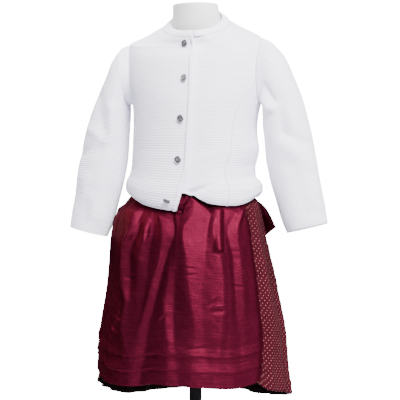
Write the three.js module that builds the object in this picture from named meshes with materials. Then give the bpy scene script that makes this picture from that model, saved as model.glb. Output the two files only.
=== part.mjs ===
// A child's dirndl with its knitted cardigan, worn by a limbless dress form on a stand.
// Millimetres, +Z up. The front faces -Y, the wearer's left is +X, and the base is centred on the origin.
import * as THREE from "three";

const DEGREE = Math.PI / 180;

// ---------------------------------------------------------------- driving dimensions
const SEAM_GAP = 0.3; // between two sewn pieces
const KNIT = 2.5; // wall of the cardigan
const COTTON = 1.5; // wall of the dress, the apron and its ties
const UNDERLAP_DROP = KNIT + 0.9; // how far the left front lies behind the right one

const FORM_TOP = 1041;
const FORM_BOTTOM = 567;
const POLE_RADIUS = 11.5;
const BASE = { radius: 150, thickness: 10, bevel: 2.5, socketRadius: 21, socketHeight: 32 };

const ARMHOLE = { height: 916, halfHeight: 59, halfAngle: 22 };
const SIDE_SEAM = 90; // degrees from the centre front
const PRINCESS_TOP = 893.43; // level at which the princess seam runs into the armhole
const NECK_LEVEL = 1003;
const HEM_LEVEL = 690;
const NECK_DIP = 26; // centre front below the side of the neck, and centre back above it
const SHOULDER_SLOPE = 0.015; // the left shoulder sits a little higher
const NECKBAND = { height: 11.5, thickness: 2.6, leanFront: 3, leanSide: 12 };
const TRIM = { angle: 3.6, thickness: 1.7 };
const UNDERLAP_ANGLE = -16; // hidden edge of the left front

const BODICE_BOTTOM = 706;
const BODICE_TOP = 900;
const WAISTBAND = { bottom: 688.3, top: 705, rightEnd: -75, leftEnd: 60 };
const APRON_TOP = 687.2;
const APRON_LIFT = 3.2; // outside of the apron from the outside of the skirt, between folds
const TUCK = { width: 12, lift: 1.4, heights: [54, 27] }; // two tucks above the apron's hem

const BUTTON = { radius: 6.9, thickness: 2.6 };

// ---------------------------------------------------------------- tables and curves
/** The value of a column at a place between two rows, on a curve that never overshoots them. */
function between(rows, key, column, at) {
  const last = rows.length - 1;
  if (at <= rows[0][key]) return rows[0][column];
  if (at >= rows[last][key]) return rows[last][column];
  let i = 0;
  while (rows[i + 1][key] < at) i += 1;
  const slope = (k) =>
    (rows[k + 1][column] - rows[k][column]) / (rows[k + 1][key] - rows[k][key]);
  const tangent = (k) => {
    if (k === 0) return slope(0);
    if (k === last) return slope(last - 1);
    const [before, after] = [slope(k - 1), slope(k)];
    return before * after <= 0 ? 0 : (2 * before * after) / (before + after);
  };
  const step = rows[i + 1][key] - rows[i][key];
  const t = (at - rows[i][key]) / step;
  const [t2, t3] = [t * t, t * t * t];
  return (
    (2 * t3 - 3 * t2 + 1) * rows[i][column] +
    (t3 - 2 * t2 + t) * step * tangent(i) +
    (3 * t2 - 2 * t3) * rows[i + 1][column] +
    (t3 - t2) * step * tangent(i + 1)
  );
}

const smooth = (from, to, at) => THREE.MathUtils.smoothstep(at, from, to);
const mix = THREE.MathUtils.lerp;

/** A ridge's height across it: 1 on its line, falling to 0 at its half width. */
const ridge = (distance, halfWidth) =>
  Math.abs(distance) >= halfWidth ? 0 : 0.5 + 0.5 * Math.cos((Math.PI * distance) / halfWidth);

/** Evenly spaced numbers, both ends included. */
const steps = (from, to, count) =>
  Array.from({ length: count + 1 }, (_, i) => mix(from, to, i / count));

/** A point of an oval ring. The angle runs from the front (-Y) towards the wearer's left (+X). */
function ringPoint({ right, left, front, back, mid }, angle, height) {
  const side = Math.sin(angle * DEGREE);
  const ahead = Math.cos(angle * DEGREE);
  return new THREE.Vector3(
    side * (side > 0 ? left : right),
    mid - ahead * (ahead > 0 ? front : back),
    height,
  );
}

/** A ring with the same amount added all round. */
const widened = ({ right, left, front, back, mid }, by) => ({
  right: right + by,
  left: left + by,
  front: front + by,
  back: back + by,
  mid,
});

const ringAt = (rows, key, at) => ({
  right: between(rows, key, "right", at),
  left: between(rows, key, "left", at),
  front: between(rows, key, "front", at),
  back: between(rows, key, "back", at),
  mid: between(rows, key, "mid", at),
});

/** Moves a point of a surface along its outward normal. */
function moved(surface, angle, height, distance) {
  const [turn, rise] = [0.4, 0.8];
  const across = surface(angle + turn, height).sub(surface(angle - turn, height));
  const up = surface(angle, height + rise).sub(surface(angle, height - rise));
  return surface(angle, height).addScaledVector(across.cross(up).normalize(), distance);
}

// ---------------------------------------------------------------- walls and other solids
/** A closed wall between two grids of points of the same size. A ring's last column meets its first. */
function wall(outside, inside, ring = false) {
  const rows = outside.length;
  const columns = outside[0].length;
  const positions = [...outside.flat(), ...inside.flat()].flatMap((p) => p.toArray());
  const at = (side, row, column) => (side * rows + row) * columns + (column % columns);
  const index = [];
  const quad = (a, b, c, d) => index.push(a, b, c, a, c, d);
  const lastColumn = ring ? columns : columns - 1;
  for (let r = 0; r < rows - 1; r += 1)
    for (let c = 0; c < lastColumn; c += 1) {
      quad(at(0, r, c), at(0, r, c + 1), at(0, r + 1, c + 1), at(0, r + 1, c));
      quad(at(1, r, c), at(1, r + 1, c), at(1, r + 1, c + 1), at(1, r, c + 1));
    }
  for (let c = 0; c < lastColumn; c += 1) {
    quad(at(0, 0, c), at(1, 0, c), at(1, 0, c + 1), at(0, 0, c + 1));
    const top = rows - 1;
    quad(at(0, top, c), at(0, top, c + 1), at(1, top, c + 1), at(1, top, c));
  }
  if (!ring)
    for (let r = 0; r < rows - 1; r += 1) {
      quad(at(0, r, 0), at(0, r + 1, 0), at(1, r + 1, 0), at(1, r, 0));
      const end = columns - 1;
      quad(at(0, r, end), at(1, r, end), at(1, r + 1, end), at(0, r + 1, end));
    }
  return facingOut(positions, index);
}

/** Turns a closed body's faces round if they point inwards. */
function facingOut(positions, index) {
  const corner = (i) => new THREE.Vector3().fromArray(positions, index[i] * 3);
  let volume = 0;
  for (let i = 0; i < index.length; i += 3)
    volume += corner(i).dot(corner(i + 1).cross(corner(i + 2)));
  if (volume < 0)
    for (let i = 0; i < index.length; i += 3)
      [index[i + 1], index[i + 2]] = [index[i + 2], index[i + 1]];
  const geometry = new THREE.BufferGeometry();
  geometry.setAttribute("position", new THREE.Float32BufferAttribute(positions, 3));
  geometry.setIndex(index);
  geometry.computeVertexNormals();
  return geometry;
}

/** A closed body through rings of points, with a flat end on the first and the last. */
function lofted(rings) {
  const count = rings[0].length;
  const middle = (ring) =>
    ring.reduce((sum, p) => sum.add(p), new THREE.Vector3()).divideScalar(ring.length);
  const ends = [middle(rings[0]), middle(rings[rings.length - 1])];
  const positions = [...rings.flat(), ...ends].flatMap((p) => p.toArray());
  const index = [];
  const last = (rings.length - 1) * count;
  for (let c = 0; c < count; c += 1) {
    const next = (c + 1) % count;
    for (let r = 0; r < rings.length - 1; r += 1) {
      const [low, high] = [r * count, (r + 1) * count];
      index.push(low + c, low + next, high + next, low + c, high + next, high + c);
    }
    index.push(rings.length * count, next, c);
    index.push(rings.length * count + 1, last + c, last + next);
  }
  return facingOut(positions, index);
}

const part = new THREE.Group();

/** Adds one named piece to the part. */
function add(name, geometry, material) {
  const mesh = new THREE.Mesh(geometry, material);
  mesh.name = name;
  part.add(mesh);
  return mesh;
}

const finish = (color, roughness, metalness = 0) =>
  new THREE.MeshStandardMaterial({ color, roughness, metalness, side: THREE.DoubleSide });
const material = {
  knit: finish(0xeceaf0, 0.9),
  skirtCotton: finish(0x7a2333, 0.75),
  apronTaffeta: finish(0x7d1f3c, 0.45),
  formShell: finish(0xe6e4df, 0.55),
  standSteel: finish(0x101012, 0.4, 0.7),
  buttonMetal: finish(0x55565a, 0.4, 0.9),
};

// ---------------------------------------------------------------- dress form and stand
const FORM_RINGS = [
  { height: FORM_BOTTOM, half: 84, front: 70, back: 70, mid: 0 },
  { height: 572, half: 98, front: 82, back: 80, mid: 0 },
  { height: 585, half: 106, front: 89, back: 86, mid: 0 },
  { height: 620, half: 107, front: 91, back: 87, mid: 0 },
  { height: 660, half: 104, front: 90, back: 84, mid: 0 },
  { height: 700, half: 102, front: 88, back: 80, mid: 0 },
  { height: 740, half: 102, front: 86, back: 77, mid: 0 },
  { height: 800, half: 104, front: 84, back: 76, mid: 1 },
  { height: 856, half: 106, front: 81, back: 75, mid: 3 },
  { height: 900, half: 105, front: 73, back: 74, mid: 7 },
  { height: 928, half: 103, front: 63, back: 70, mid: 10 },
  { height: 946, half: 99, front: 53, back: 64, mid: 12 },
  { height: 958, half: 90, front: 46, back: 58, mid: 11 },
  { height: 968, half: 76, front: 42, back: 53, mid: 10 },
  { height: 979, half: 59, front: 40, back: 49, mid: 8 },
  { height: 990, half: 48, front: 39.5, back: 46, mid: 5 },
  { height: 1002, half: 43, front: 39.5, back: 43, mid: 2 },
  { height: 1018, half: 41.8, front: 40, back: 42, mid: 0 },
  { height: FORM_TOP, half: 41.5, front: 40, back: 41, mid: -2 },
];

/** A point on the form's skin. Its shoulders lean with the cardigan's. */
function formPoint(angle, height) {
  const half = between(FORM_RINGS, "height", "half", height);
  const ring = {
    right: half,
    left: half,
    front: between(FORM_RINGS, "height", "front", height),
    back: between(FORM_RINGS, "height", "back", height),
    mid: between(FORM_RINGS, "height", "mid", height),
  };
  const point = ringPoint(ring, angle, height);
  point.z += SHOULDER_SLOPE * point.x * smooth(880, 975, height);
  return point;
}

function makeForm() {
  const around = steps(0, 360, 22).slice(0, -1);
  const rings = FORM_RINGS.map(({ height }) => around.map((angle) => formPoint(angle, height)));
  add("form_torso", lofted(rings), material.formShell);

  const poleBottom = BASE.thickness + BASE.socketHeight + SEAM_GAP;
  const poleTop = FORM_BOTTOM - SEAM_GAP;
  const pole = new THREE.CylinderGeometry(POLE_RADIUS, POLE_RADIUS, poleTop - poleBottom, 20);
  pole.rotateX(Math.PI / 2).translate(0, 0, (poleTop + poleBottom) / 2);
  add("form_pole", pole, material.standSteel);

  const { radius, thickness, bevel, socketRadius, socketHeight } = BASE;
  const profile = [
    [0, 0],
    [radius, 0],
    [radius, thickness - bevel],
    [radius - bevel, thickness],
    [socketRadius, thickness],
    [socketRadius, thickness + socketHeight - bevel],
    [socketRadius - bevel, thickness + socketHeight],
    [0, thickness + socketHeight],
  ].map(([x, y]) => new THREE.Vector2(x, y));
  add("form_base", new THREE.LatheGeometry(profile, 24).rotateX(Math.PI / 2), material.standSteel);
}

// ---------------------------------------------------------------- cardigan body
// One row for each level, named by its height at the side seam.
const CARDIGAN_RINGS = [
  { level: HEM_LEVEL, right: 124.5, left: 118, front: 106, back: 101, mid: 0 },
  { level: 694, right: 128, left: 122, front: 109, back: 102, mid: 0 },
  { level: 700, right: 130.5, left: 125.5, front: 110.5, back: 102, mid: 0 },
  { level: 708, right: 130.5, left: 125.5, front: 110.5, back: 101, mid: 0 },
  { level: 716, right: 129, left: 121, front: 108, back: 99, mid: 0 },
  { level: 726, right: 124, left: 112.5, front: 104, back: 95, mid: 0 },
  { level: 740, right: 120, left: 112, front: 101, back: 90, mid: 0 },
  { level: 756, right: 119, left: 116, front: 99, back: 88, mid: 0 },
  { level: 774, right: 118, left: 119, front: 98, back: 87, mid: 1 },
  { level: 792, right: 117.5, left: 116.5, front: 98, back: 86, mid: 1 },
  { level: 812, right: 117, left: 115, front: 98, back: 86, mid: 2 },
  { level: 834, right: 117, left: 117, front: 98, back: 86, mid: 3 },
  { level: 856, right: 119, left: 121, front: 97, back: 86, mid: 4 },
  { level: 880, right: 124, left: 125, front: 94, back: 86, mid: 6 },
  { level: 911, right: 129, left: 128, front: 88, back: 86, mid: 9 },
  { level: 945, right: 130, left: 127, front: 79, back: 81, mid: 12 },
  { level: 975, right: 127, left: 121, front: 67, back: 70, mid: 14 },
  { level: 983, right: 108, left: 108, front: 64, back: 62, mid: 14 },
  { level: 990, right: 91, left: 90, front: 61, back: 57, mid: 12 },
  { level: 996.5, right: 76, left: 76, front: 59, back: 53, mid: 9 },
  { level: NECK_LEVEL, right: 62, left: 64, front: 56, back: 50, mid: 6 },
];

// Height of the hem at each angle. The right front hangs low at its corner; the left front rides up there.
const HEM_RIGHT_FRONT = [
  { angle: -90, height: 690 },
  { angle: -78, height: 690.5 },
  { angle: -65, height: 688 },
  { angle: -52, height: 681 },
  { angle: -40, height: 672 },
  { angle: -29, height: 666.5 },
  { angle: -19, height: 663 },
  { angle: -10, height: 660.5 },
  { angle: 8, height: 661 },
];
const HEM_LEFT_FRONT = [
  { angle: -20, height: 700 },
  { angle: -5, height: 694 },
  { angle: 8, height: 690 },
  { angle: 17, height: 678 },
  { angle: 26, height: 672 },
  { angle: 36, height: 669.5 },
  { angle: 48, height: 669 },
  { angle: 57, height: 671 },
  { angle: 66, height: 675.5 },
  { angle: 76, height: 682 },
  { angle: 90, height: 688 },
];
const HEM_BACK = [
  { angle: 90, height: 688 },
  { angle: 125, height: 683 },
  { angle: 180, height: 676 },
  { angle: 235, height: 684 },
  { angle: 270, height: 690 },
];
const HEM_FROM = 740; // the hem's own curve starts below this level

/** The height of a level of the cardigan at an angle, above a hem of its own. */
function risen(hem, angle, level) {
  const side = Math.max(0, (HEM_FROM - level) / (HEM_FROM - HEM_LEVEL));
  const dip = NECK_DIP * smooth(930, NECK_LEVEL, level) * Math.cos(angle * DEGREE);
  return level - dip + side * (between(hem, "angle", "height", angle) - HEM_LEVEL);
}

/** The level of a height of the cardigan at an angle, near its hem. */
function levelNear(hemHeight, height) {
  if (height >= HEM_FROM) return height;
  return HEM_LEVEL + ((height - hemHeight) * (HEM_FROM - HEM_LEVEL)) / (HEM_FROM - hemHeight);
}

/** A point on the outside of the cardigan. Each piece brings its own hem. */
function cardiganPoint(hem, angle, level, ringLevel = level) {
  const point = ringPoint(ringAt(CARDIGAN_RINGS, "level", ringLevel), angle, level);
  point.z = risen(hem, angle, level);
  point.z += SHOULDER_SLOPE * point.x * smooth(880, 975, level);
  return point;
}

/** The fold that the left front's corner makes above its hem: a trough that rises to the side. */
const CORNER_FOLD = { fromAngle: 4, toAngle: 27, fromHeight: 691, toHeight: 708, halfWidth: 9, depth: 5 };
function cornerFold(point, angle) {
  const { fromAngle, toAngle, fromHeight, toHeight, halfWidth, depth } = CORNER_FOLD;
  const along = (angle - fromAngle) / (toAngle - fromAngle);
  if (along <= 0 || along >= 1) return 0;
  const height = mix(fromHeight, toHeight, along);
  return -depth * (1 - along * along) * smooth(0, 0.2, along) * ridge(point.z - height, halfWidth);
}

const rightFront = (angle, level) => cardiganPoint(HEM_RIGHT_FRONT, angle, level);
const backPanel = (angle, level) => cardiganPoint(HEM_BACK, angle, level);
function leftFrontPlain(angle, level) {
  const height = risen(HEM_LEFT_FRONT, angle, level);
  const behind = levelNear(between(HEM_RIGHT_FRONT, "angle", "height", angle), height);
  const ringLevel = level < HEM_FROM ? mix(behind, level, smooth(8, 20, angle)) : level;
  return cardiganPoint(HEM_LEFT_FRONT, angle, level, ringLevel);
}
function leftFront(angle, level) {
  const plain = leftFrontPlain(angle, level);
  const inward = -UNDERLAP_DROP * (1 - smooth(11, 17, angle)) + cornerFold(plain, angle);
  return inward === 0 ? plain : moved(leftFrontPlain, angle, level, inward);
}

/** Half the armhole's opening, in degrees round the body, at a level. */
function armholeOpening(level) {
  const share = (level - ARMHOLE.height) / ARMHOLE.halfHeight;
  return Math.abs(share) >= 1 ? 0 : ARMHOLE.halfAngle * Math.sqrt(1 - share * share);
}

const ARMHOLE_STEPS = 8;
const armholeLevels = Array.from(
  { length: ARMHOLE_STEPS + 1 },
  (_, i) => ARMHOLE.height - ARMHOLE.halfHeight * Math.cos((Math.PI * i) / ARMHOLE_STEPS),
);
const BODY_LEVELS = [HEM_LEVEL, 696, 704, 714, 726, 742, 768, 798, 830];
const SHOULDER_LEVELS = [983, 990, 996.5, NECK_LEVEL];
const cardiganLevels = [...BODY_LEVELS, ...armholeLevels, ...SHOULDER_LEVELS];

// The right front's free edge and the princess seams, by level.
const FRONT_EDGE = [
  { level: 690, angle: -4.5 },
  { level: 707, angle: -0.6 },
  { level: 717, angle: 0.6 },
  { level: 726, angle: 2.8 },
  { level: 740, angle: 4.8 },
  { level: 780, angle: 5.4 },
  { level: 805, angle: 6.2 },
  { level: 828, angle: 7 },
  { level: 860, angle: 7.2 },
  { level: 900, angle: 6.6 },
  { level: 940, angle: 5.8 },
  { level: NECK_LEVEL, angle: 6.4 },
];
const PRINCESS_SEAM = [
  { level: 690, right: 50, left: 40 },
  { level: 740, right: 50, left: 41 },
  { level: 790, right: 50, left: 45 },
  { level: 835, right: 52, left: 49 },
  { level: 866, right: 56, left: 54 },
  { level: PRINCESS_TOP, right: 69, left: 69 },
];
const HALF_SEAM = 0.1; // degrees, half a seam gap round the body

/** The outer limit of a front or back panel, measured from the centre front or the centre back. */
const panelLimit = (level) => SIDE_SEAM - HALF_SEAM - armholeOpening(level);

/** A panel of the cardigan between two edges, each an angle for a level. */
function cardiganPanel(surface, levels, fromEdge, toEdge, columns) {
  const grid = (depth) =>
    levels.map((level) =>
      steps(fromEdge(level), toEdge(level), columns).map((angle) =>
        depth ? moved(surface, angle, level, -depth) : surface(angle, level),
      ),
    );
  return wall(grid(0), grid(KNIT));
}

function makeCardiganBody() {
  const knit = material.knit;
  const seamAt = (side, level) => between(PRINCESS_SEAM, "level", side, level);
  const frontLimit = (side) => (level) =>
    level <= PRINCESS_TOP ? seamAt(side, level) - HALF_SEAM : panelLimit(level);
  const edge = (level) => between(FRONT_EDGE, "level", "angle", level);
  const lowLevels = cardiganLevels.filter((level) => level <= PRINCESS_TOP + 0.1);
  const [rightLimit, leftLimit] = [frontLimit("right"), frontLimit("left")];

  add(
    "cardigan_front_right",
    cardiganPanel(rightFront, cardiganLevels, (v) => -rightLimit(v), edge, 9),
    knit,
  );
  add(
    "cardigan_front_left",
    cardiganPanel(leftFront, cardiganLevels, () => UNDERLAP_ANGLE, leftLimit, 11),
    knit,
  );
  add(
    "cardigan_side_front_right",
    cardiganPanel(
      rightFront,
      lowLevels,
      (v) => -panelLimit(v),
      (v) => -seamAt("right", v) - HALF_SEAM,
      4,
    ),
    knit,
  );
  add(
    "cardigan_side_front_left",
    cardiganPanel(leftFront, lowLevels, (v) => seamAt("left", v) + HALF_SEAM, panelLimit, 5),
    knit,
  );
  add(
    "cardigan_back",
    cardiganPanel(
      backPanel,
      cardiganLevels,
      (v) => 180 - panelLimit(v),
      (v) => 180 + panelLimit(v),
      15,
    ),
    knit,
  );

  const trimGrid = (lift) =>
    cardiganLevels.map((level) =>
      steps(edge(level) - TRIM.angle, edge(level), 2).map((angle) =>
        moved(rightFront, angle, level, SEAM_GAP + lift),
      ),
    );
  add("cardigan_front_trim", wall(trimGrid(TRIM.thickness), trimGrid(0)), knit);
}

/** A rib-knit band that stands on the neckline and leans towards the neck, open at the centre front. */
function makeNeckband() {
  const openFrom = between(FRONT_EDGE, "level", "angle", NECK_LEVEL);
  const angles = steps(openFrom + 1.5, openFrom + 360, 28);
  const { height, thickness, leanFront, leanSide } = NECKBAND;
  const grid = (depth) =>
    [0, 0.5, 1].map((share) =>
      angles.map((angle) => {
        const point = cardiganPoint(HEM_BACK, angle, NECK_LEVEL);
        const inward = new THREE.Vector3(-point.x, 6 - point.y, 0).normalize();
        const aside = Math.abs(Math.sin(angle * DEGREE));
        const lean = mix(leanFront, leanSide, aside) * share;
        point.addScaledVector(inward, lean + depth * mix(1, 0.75, aside));
        point.z += 0.8 + height * share * mix(1, 0.88, aside) - 0.5 * depth * aside;
        return point;
      }),
    );
  add("cardigan_neckband", wall(grid(0), grid(thickness)), material.knit);
}

// ---------------------------------------------------------------- sleeves
// Each ring runs from its outer point to its inner point, at a depth y and with its own half depth.
const SLEEVE_RIGHT = [
  { outerX: -145, outerZ: 963, innerX: -132, innerZ: 858, y: 11, deep: 40 },
  { outerX: -160.5, outerZ: 941, innerX: -129.5, innerZ: 852, y: 10, deep: 42 },
  { outerX: -172, outerZ: 911, innerX: -128, innerZ: 843, y: 8, deep: 42 },
  { outerX: -191, outerZ: 868, innerX: -127, innerZ: 826, y: 5, deep: 41 },
  { outerX: -206, outerZ: 823, innerX: -127.5, innerZ: 800, y: 2, deep: 40 },
  { outerX: -216.5, outerZ: 779.5, innerX: -128.5, innerZ: 762, y: -2, deep: 39 },
  { outerX: -224, outerZ: 734.5, innerX: -134, innerZ: 721, y: -7, deep: 37 },
  { outerX: -228.5, outerZ: 685.5, innerX: -143.5, innerZ: 678, y: -12, deep: 34 },
  { outerX: -233.5, outerZ: 654, innerX: -153, innerZ: 639, y: -16, deep: 32 },
  { outerX: -235.5, outerZ: 630, innerX: -164, innerZ: 612, y: -19, deep: 30 },
];
const SLEEVE_LEFT = [
  { outerX: 141.5, outerZ: 966, innerX: 130, innerZ: 857, y: 11, deep: 40 },
  { outerX: 164, outerZ: 940.5, innerX: 130, innerZ: 849, y: 10, deep: 42 },
  { outerX: 179.5, outerZ: 907, innerX: 130, innerZ: 842, y: 8, deep: 42 },
  { outerX: 196.5, outerZ: 866, innerX: 130, innerZ: 827, y: 5, deep: 41 },
  { outerX: 209, outerZ: 822, innerX: 131.5, innerZ: 801, y: 2, deep: 40 },
  { outerX: 219, outerZ: 780, innerX: 135, innerZ: 764, y: -2, deep: 39 },
  { outerX: 227, outerZ: 734.5, innerX: 143, innerZ: 722, y: -7, deep: 37 },
  { outerX: 236, outerZ: 691, innerX: 156, innerZ: 680, y: -12, deep: 34 },
  { outerX: 244, outerZ: 654.5, innerX: 168, innerZ: 642, y: -16, deep: 32 },
  { outerX: 247, outerZ: 637.5, innerX: 177.5, innerZ: 621, y: -19, deep: 30 },
];
const SLEEVE_RINGS = 13;

/** The seam ring of a sleeve: it follows the armhole, a seam's gap inside its edge. */
function armholeRing(side, depth) {
  const halfHeight = ARMHOLE.halfHeight - 2 * SEAM_GAP;
  const halfAngle = ARMHOLE.halfAngle - 3 * HALF_SEAM;
  return steps(0, 2 * Math.PI, 2 * ARMHOLE_STEPS)
    .slice(0, -1)
    .map((turn) => {
      const angle = side * (SIDE_SEAM - halfAngle * Math.sin(turn));
      const level = ARMHOLE.height + halfHeight * Math.cos(turn);
      return moved(backPanel, angle, level, -depth);
    });
}

/** A ring of the sleeve's tube, at a place counted in rows of its table. */
function sleeveRing(rows, place, depth) {
  const stations = rows.map((row, i) => ({ ...row, place: i }));
  const value = (column) => between(stations, "place", column, place);
  const outer = new THREE.Vector3(value("outerX"), value("y"), value("outerZ"));
  const inner = new THREE.Vector3(value("innerX"), value("y"), value("innerZ"));
  const middle = outer.clone().add(inner).multiplyScalar(0.5);
  const across = outer.clone().sub(middle);
  const wide = across.length() - depth;
  const deep = value("deep") - depth;
  across.normalize();
  return steps(0, 2 * Math.PI, 2 * ARMHOLE_STEPS)
    .slice(0, -1)
    .map((turn) => {
      const point = middle.clone().addScaledVector(across, wide * Math.cos(turn));
      point.y -= deep * Math.sin(turn);
      return point;
    });
}

function makeSleeve(name, side, rows) {
  const places = steps(0, rows.length - 1, SLEEVE_RINGS - 1);
  const grid = (depth) => [
    armholeRing(side, depth),
    ...places.map((place) => sleeveRing(rows, place, depth)),
  ];
  add(name, wall(grid(0), grid(KNIT), true), material.knit);
}

// ---------------------------------------------------------------- buttons
// Angle and level on the right front, how far each is tipped down and turned by the cloth, and how far the
// middle of its back stands off the front's curve, which puts its edge 0.3 mm off the front's flat faces.
const BUTTONS = [
  { name: "button_1", angle: -4.6, level: 988, tip: 0, turn: 20, standoff: 3.3 },
  { name: "button_2", angle: -0.6, level: 899, tip: 0, turn: 22, standoff: 2.1 },
  { name: "button_3", angle: -2.4, level: 826, tip: 0, turn: 12, standoff: 1.4 },
  { name: "button_4", angle: -4.2, level: 752, tip: 0, turn: 8, standoff: 1.2 },
  { name: "button_5", angle: -11.5, level: 702, tip: 38, turn: 0, standoff: 3.4 },
];

function makeButtons() {
  const { radius, thickness } = BUTTON;
  const profile = [
    [0, 0],
    [radius - 0.8, 0],
    [radius, 0.8],
    [radius - 0.2, thickness - 0.5],
    [radius - 1.1, thickness],
    [radius - 2.2, thickness - 0.7],
    [1.6, thickness - 0.6],
    [0, thickness + 0.1],
  ].map(([x, y]) => new THREE.Vector2(x, y));
  const up = new THREE.Vector3(0, 0, 1);
  for (const { name, angle, level, tip, turn, standoff } of BUTTONS) {
    const disc = new THREE.LatheGeometry(profile, 14);
    const button = add(name, disc, material.buttonMetal);
    const foot = rightFront(angle, level);
    const outward = moved(rightFront, angle, level, 1).sub(foot).normalize();
    button.position.copy(foot).addScaledVector(outward, standoff);
    const sideways = up.clone().cross(outward).normalize();
    outward.applyAxisAngle(sideways, tip * DEGREE).applyAxisAngle(up, -turn * DEGREE);
    button.quaternion.setFromUnitVectors(new THREE.Vector3(0, 1, 0), outward);
  }
}

// ---------------------------------------------------------------- bodice
// How far round from the centre front or back each bodice panel reaches.
const BODICE_SIDE = [
  { height: BODICE_BOTTOM, angle: 90 },
  { height: 842, angle: 90 },
  { height: 856, angle: 83 },
  { height: 872, angle: 71 },
  { height: 888, angle: 63 },
  { height: BODICE_TOP, angle: 60 },
];
// The two edges of a shoulder strap, from the front panel over the shoulder to the back panel.
const STRAP = [
  { place: 0, innerAngle: 40, innerZ: 900.3, outerAngle: 60, outerZ: 900.3 },
  { place: 1, innerAngle: 41, innerZ: 926, outerAngle: 64, outerZ: 926 },
  { place: 2, innerAngle: 46, innerZ: 951, outerAngle: 72, outerZ: 950 },
  { place: 3, innerAngle: 62, innerZ: 982, outerAngle: 82, outerZ: 966 },
  { place: 4, innerAngle: 90, innerZ: 993, outerAngle: 90, outerZ: 972 },
  { place: 5, innerAngle: 118, innerZ: 982, outerAngle: 98, outerZ: 966 },
  { place: 6, innerAngle: 134, innerZ: 951, outerAngle: 108, outerZ: 950 },
  { place: 7, innerAngle: 139, innerZ: 926, outerAngle: 116, outerZ: 926 },
  { place: 8, innerAngle: 140, innerZ: 900.3, outerAngle: 120, outerZ: 900.3 },
];
const BODICE_CLEARANCE = 2.5;

function makeBodice() {
  const heights = [BODICE_BOTTOM, 735, 770, 805, 842, 856, 872, 888, BODICE_TOP];
  const limit = (height) => between(BODICE_SIDE, "height", "angle", height) - HALF_SEAM;
  const panel = (centre) => {
    const grid = (lift) =>
      heights.map((height) =>
        steps(centre - limit(height), centre + limit(height), 12).map((angle) =>
          moved(formPoint, angle, height, BODICE_CLEARANCE + lift),
        ),
      );
    return wall(grid(COTTON), grid(0));
  };
  add("bodice_front", panel(0), material.skirtCotton);
  add("bodice_back", panel(180), material.skirtCotton);

  for (const [name, side] of [
    ["bodice_strap_right", -1],
    ["bodice_strap_left", 1],
  ]) {
    const grid = (lift) =>
      steps(0, 8, 12).map((place) => {
        const value = (column) => between(STRAP, "place", column, place);
        return steps(0, 1, 2).map((share) => {
          const angle = side * mix(value("innerAngle"), value("outerAngle"), share);
          const height = mix(value("innerZ"), value("outerZ"), share);
          return moved(formPoint, angle, height, BODICE_CLEARANCE + lift);
        });
      });
    add(name, wall(grid(COTTON), grid(0)), material.skirtCotton);
  }
}

// ---------------------------------------------------------------- skirt
const SKIRT_TOP = BODICE_BOTTOM - SEAM_GAP;
const SKIRT_RINGS = [
  { height: 306, right: 191, left: 171, front: 156, back: 154, mid: 0 },
  { height: 338, right: 184, left: 168, front: 155, back: 152, mid: 0 },
  { height: 373, right: 176, left: 163, front: 152, back: 148, mid: 0 },
  { height: 440, right: 171, left: 158, front: 147, back: 142, mid: 0 },
  { height: 500, right: 163, left: 146, front: 141, back: 135, mid: 0 },
  { height: 551, right: 158, left: 136, front: 134, back: 127, mid: 0 },
  { height: 600, right: 156, left: 127, front: 125, back: 118, mid: 0 },
  { height: 632, right: 152, left: 123, front: 115, back: 110, mid: 0 },
  { height: 654, right: 148, left: 120, front: 105, back: 102, mid: 0 },
  { height: 665, right: 145, left: 118, front: 99, back: 97, mid: 0 },
  { height: 676, right: 140, left: 115, front: 96, back: 92, mid: 0 },
  { height: 684, right: 131, left: 112, front: 95, back: 89, mid: 0 },
  { height: 691, right: 117, left: 109, front: 94, back: 86.5, mid: 0 },
  { height: 700, right: 109, left: 106, front: 92.5, back: 84, mid: 0 },
  { height: SKIRT_TOP, right: 106, left: 105.5, front: 91.5, back: 83.5, mid: 0 },
];

// The hem hangs lower behind and at the sides than at the front.
const SKIRT_HEM = [
  { angle: -180, height: 327 },
  { angle: -155, height: 314 },
  { angle: -128, height: 308 },
  { angle: -108, height: 322 },
  { angle: -88, height: 342 },
  { angle: -62, height: 352 },
  { angle: -30, height: 358 },
  { angle: 20, height: 360 },
  { angle: 50, height: 352 },
  { angle: 66, height: 339 },
  { angle: 92, height: 330 },
  { angle: 118, height: 315 },
  { angle: 145, height: 310 },
  { angle: 164, height: 317 },
  { angle: 180, height: 327 },
];

// Gathers of the skirt that hang free: those beside the apron, then those behind, unevenly spaced by a loop.
const SIDE_FOLDS = [
  { waist: 72, hem: 86, halfWidth: 9, waistDepth: 1, hemDepth: 3.5 },
  { waist: 88, hem: 68, halfWidth: 7, waistDepth: 1.5, hemDepth: 2 },
  { waist: -84, hem: -88, halfWidth: 8, waistDepth: 1, hemDepth: 5 },
  { waist: -72, hem: -74, halfWidth: 6, waistDepth: 0.6, hemDepth: 1.5 },
];
const BACK_FOLD_COUNT = 13;
const backFolds = Array.from({ length: BACK_FOLD_COUNT }, (_, i) => {
  const even = mix(104, 256, i / (BACK_FOLD_COUNT - 1));
  return {
    waist: even + 1.6 * Math.sin(2.4 * i),
    hem: even + 3 * Math.sin(1.7 * i + 1),
    halfWidth: 6.6 + 0.9 * Math.sin(3.1 * i),
    waistDepth: 1.6 + 0.6 * Math.cos(2.2 * i),
    hemDepth: 10 + 2.6 * Math.sin(2.9 * i + 0.5),
  };
});
const skirtFolds = [...SIDE_FOLDS, ...backFolds];

const wrapped = (angle) => ((((angle + 180) % 360) + 360) % 360) - 180;
const skirtHem = (angle) => between(SKIRT_HEM, "angle", "height", wrapped(angle));

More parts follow.
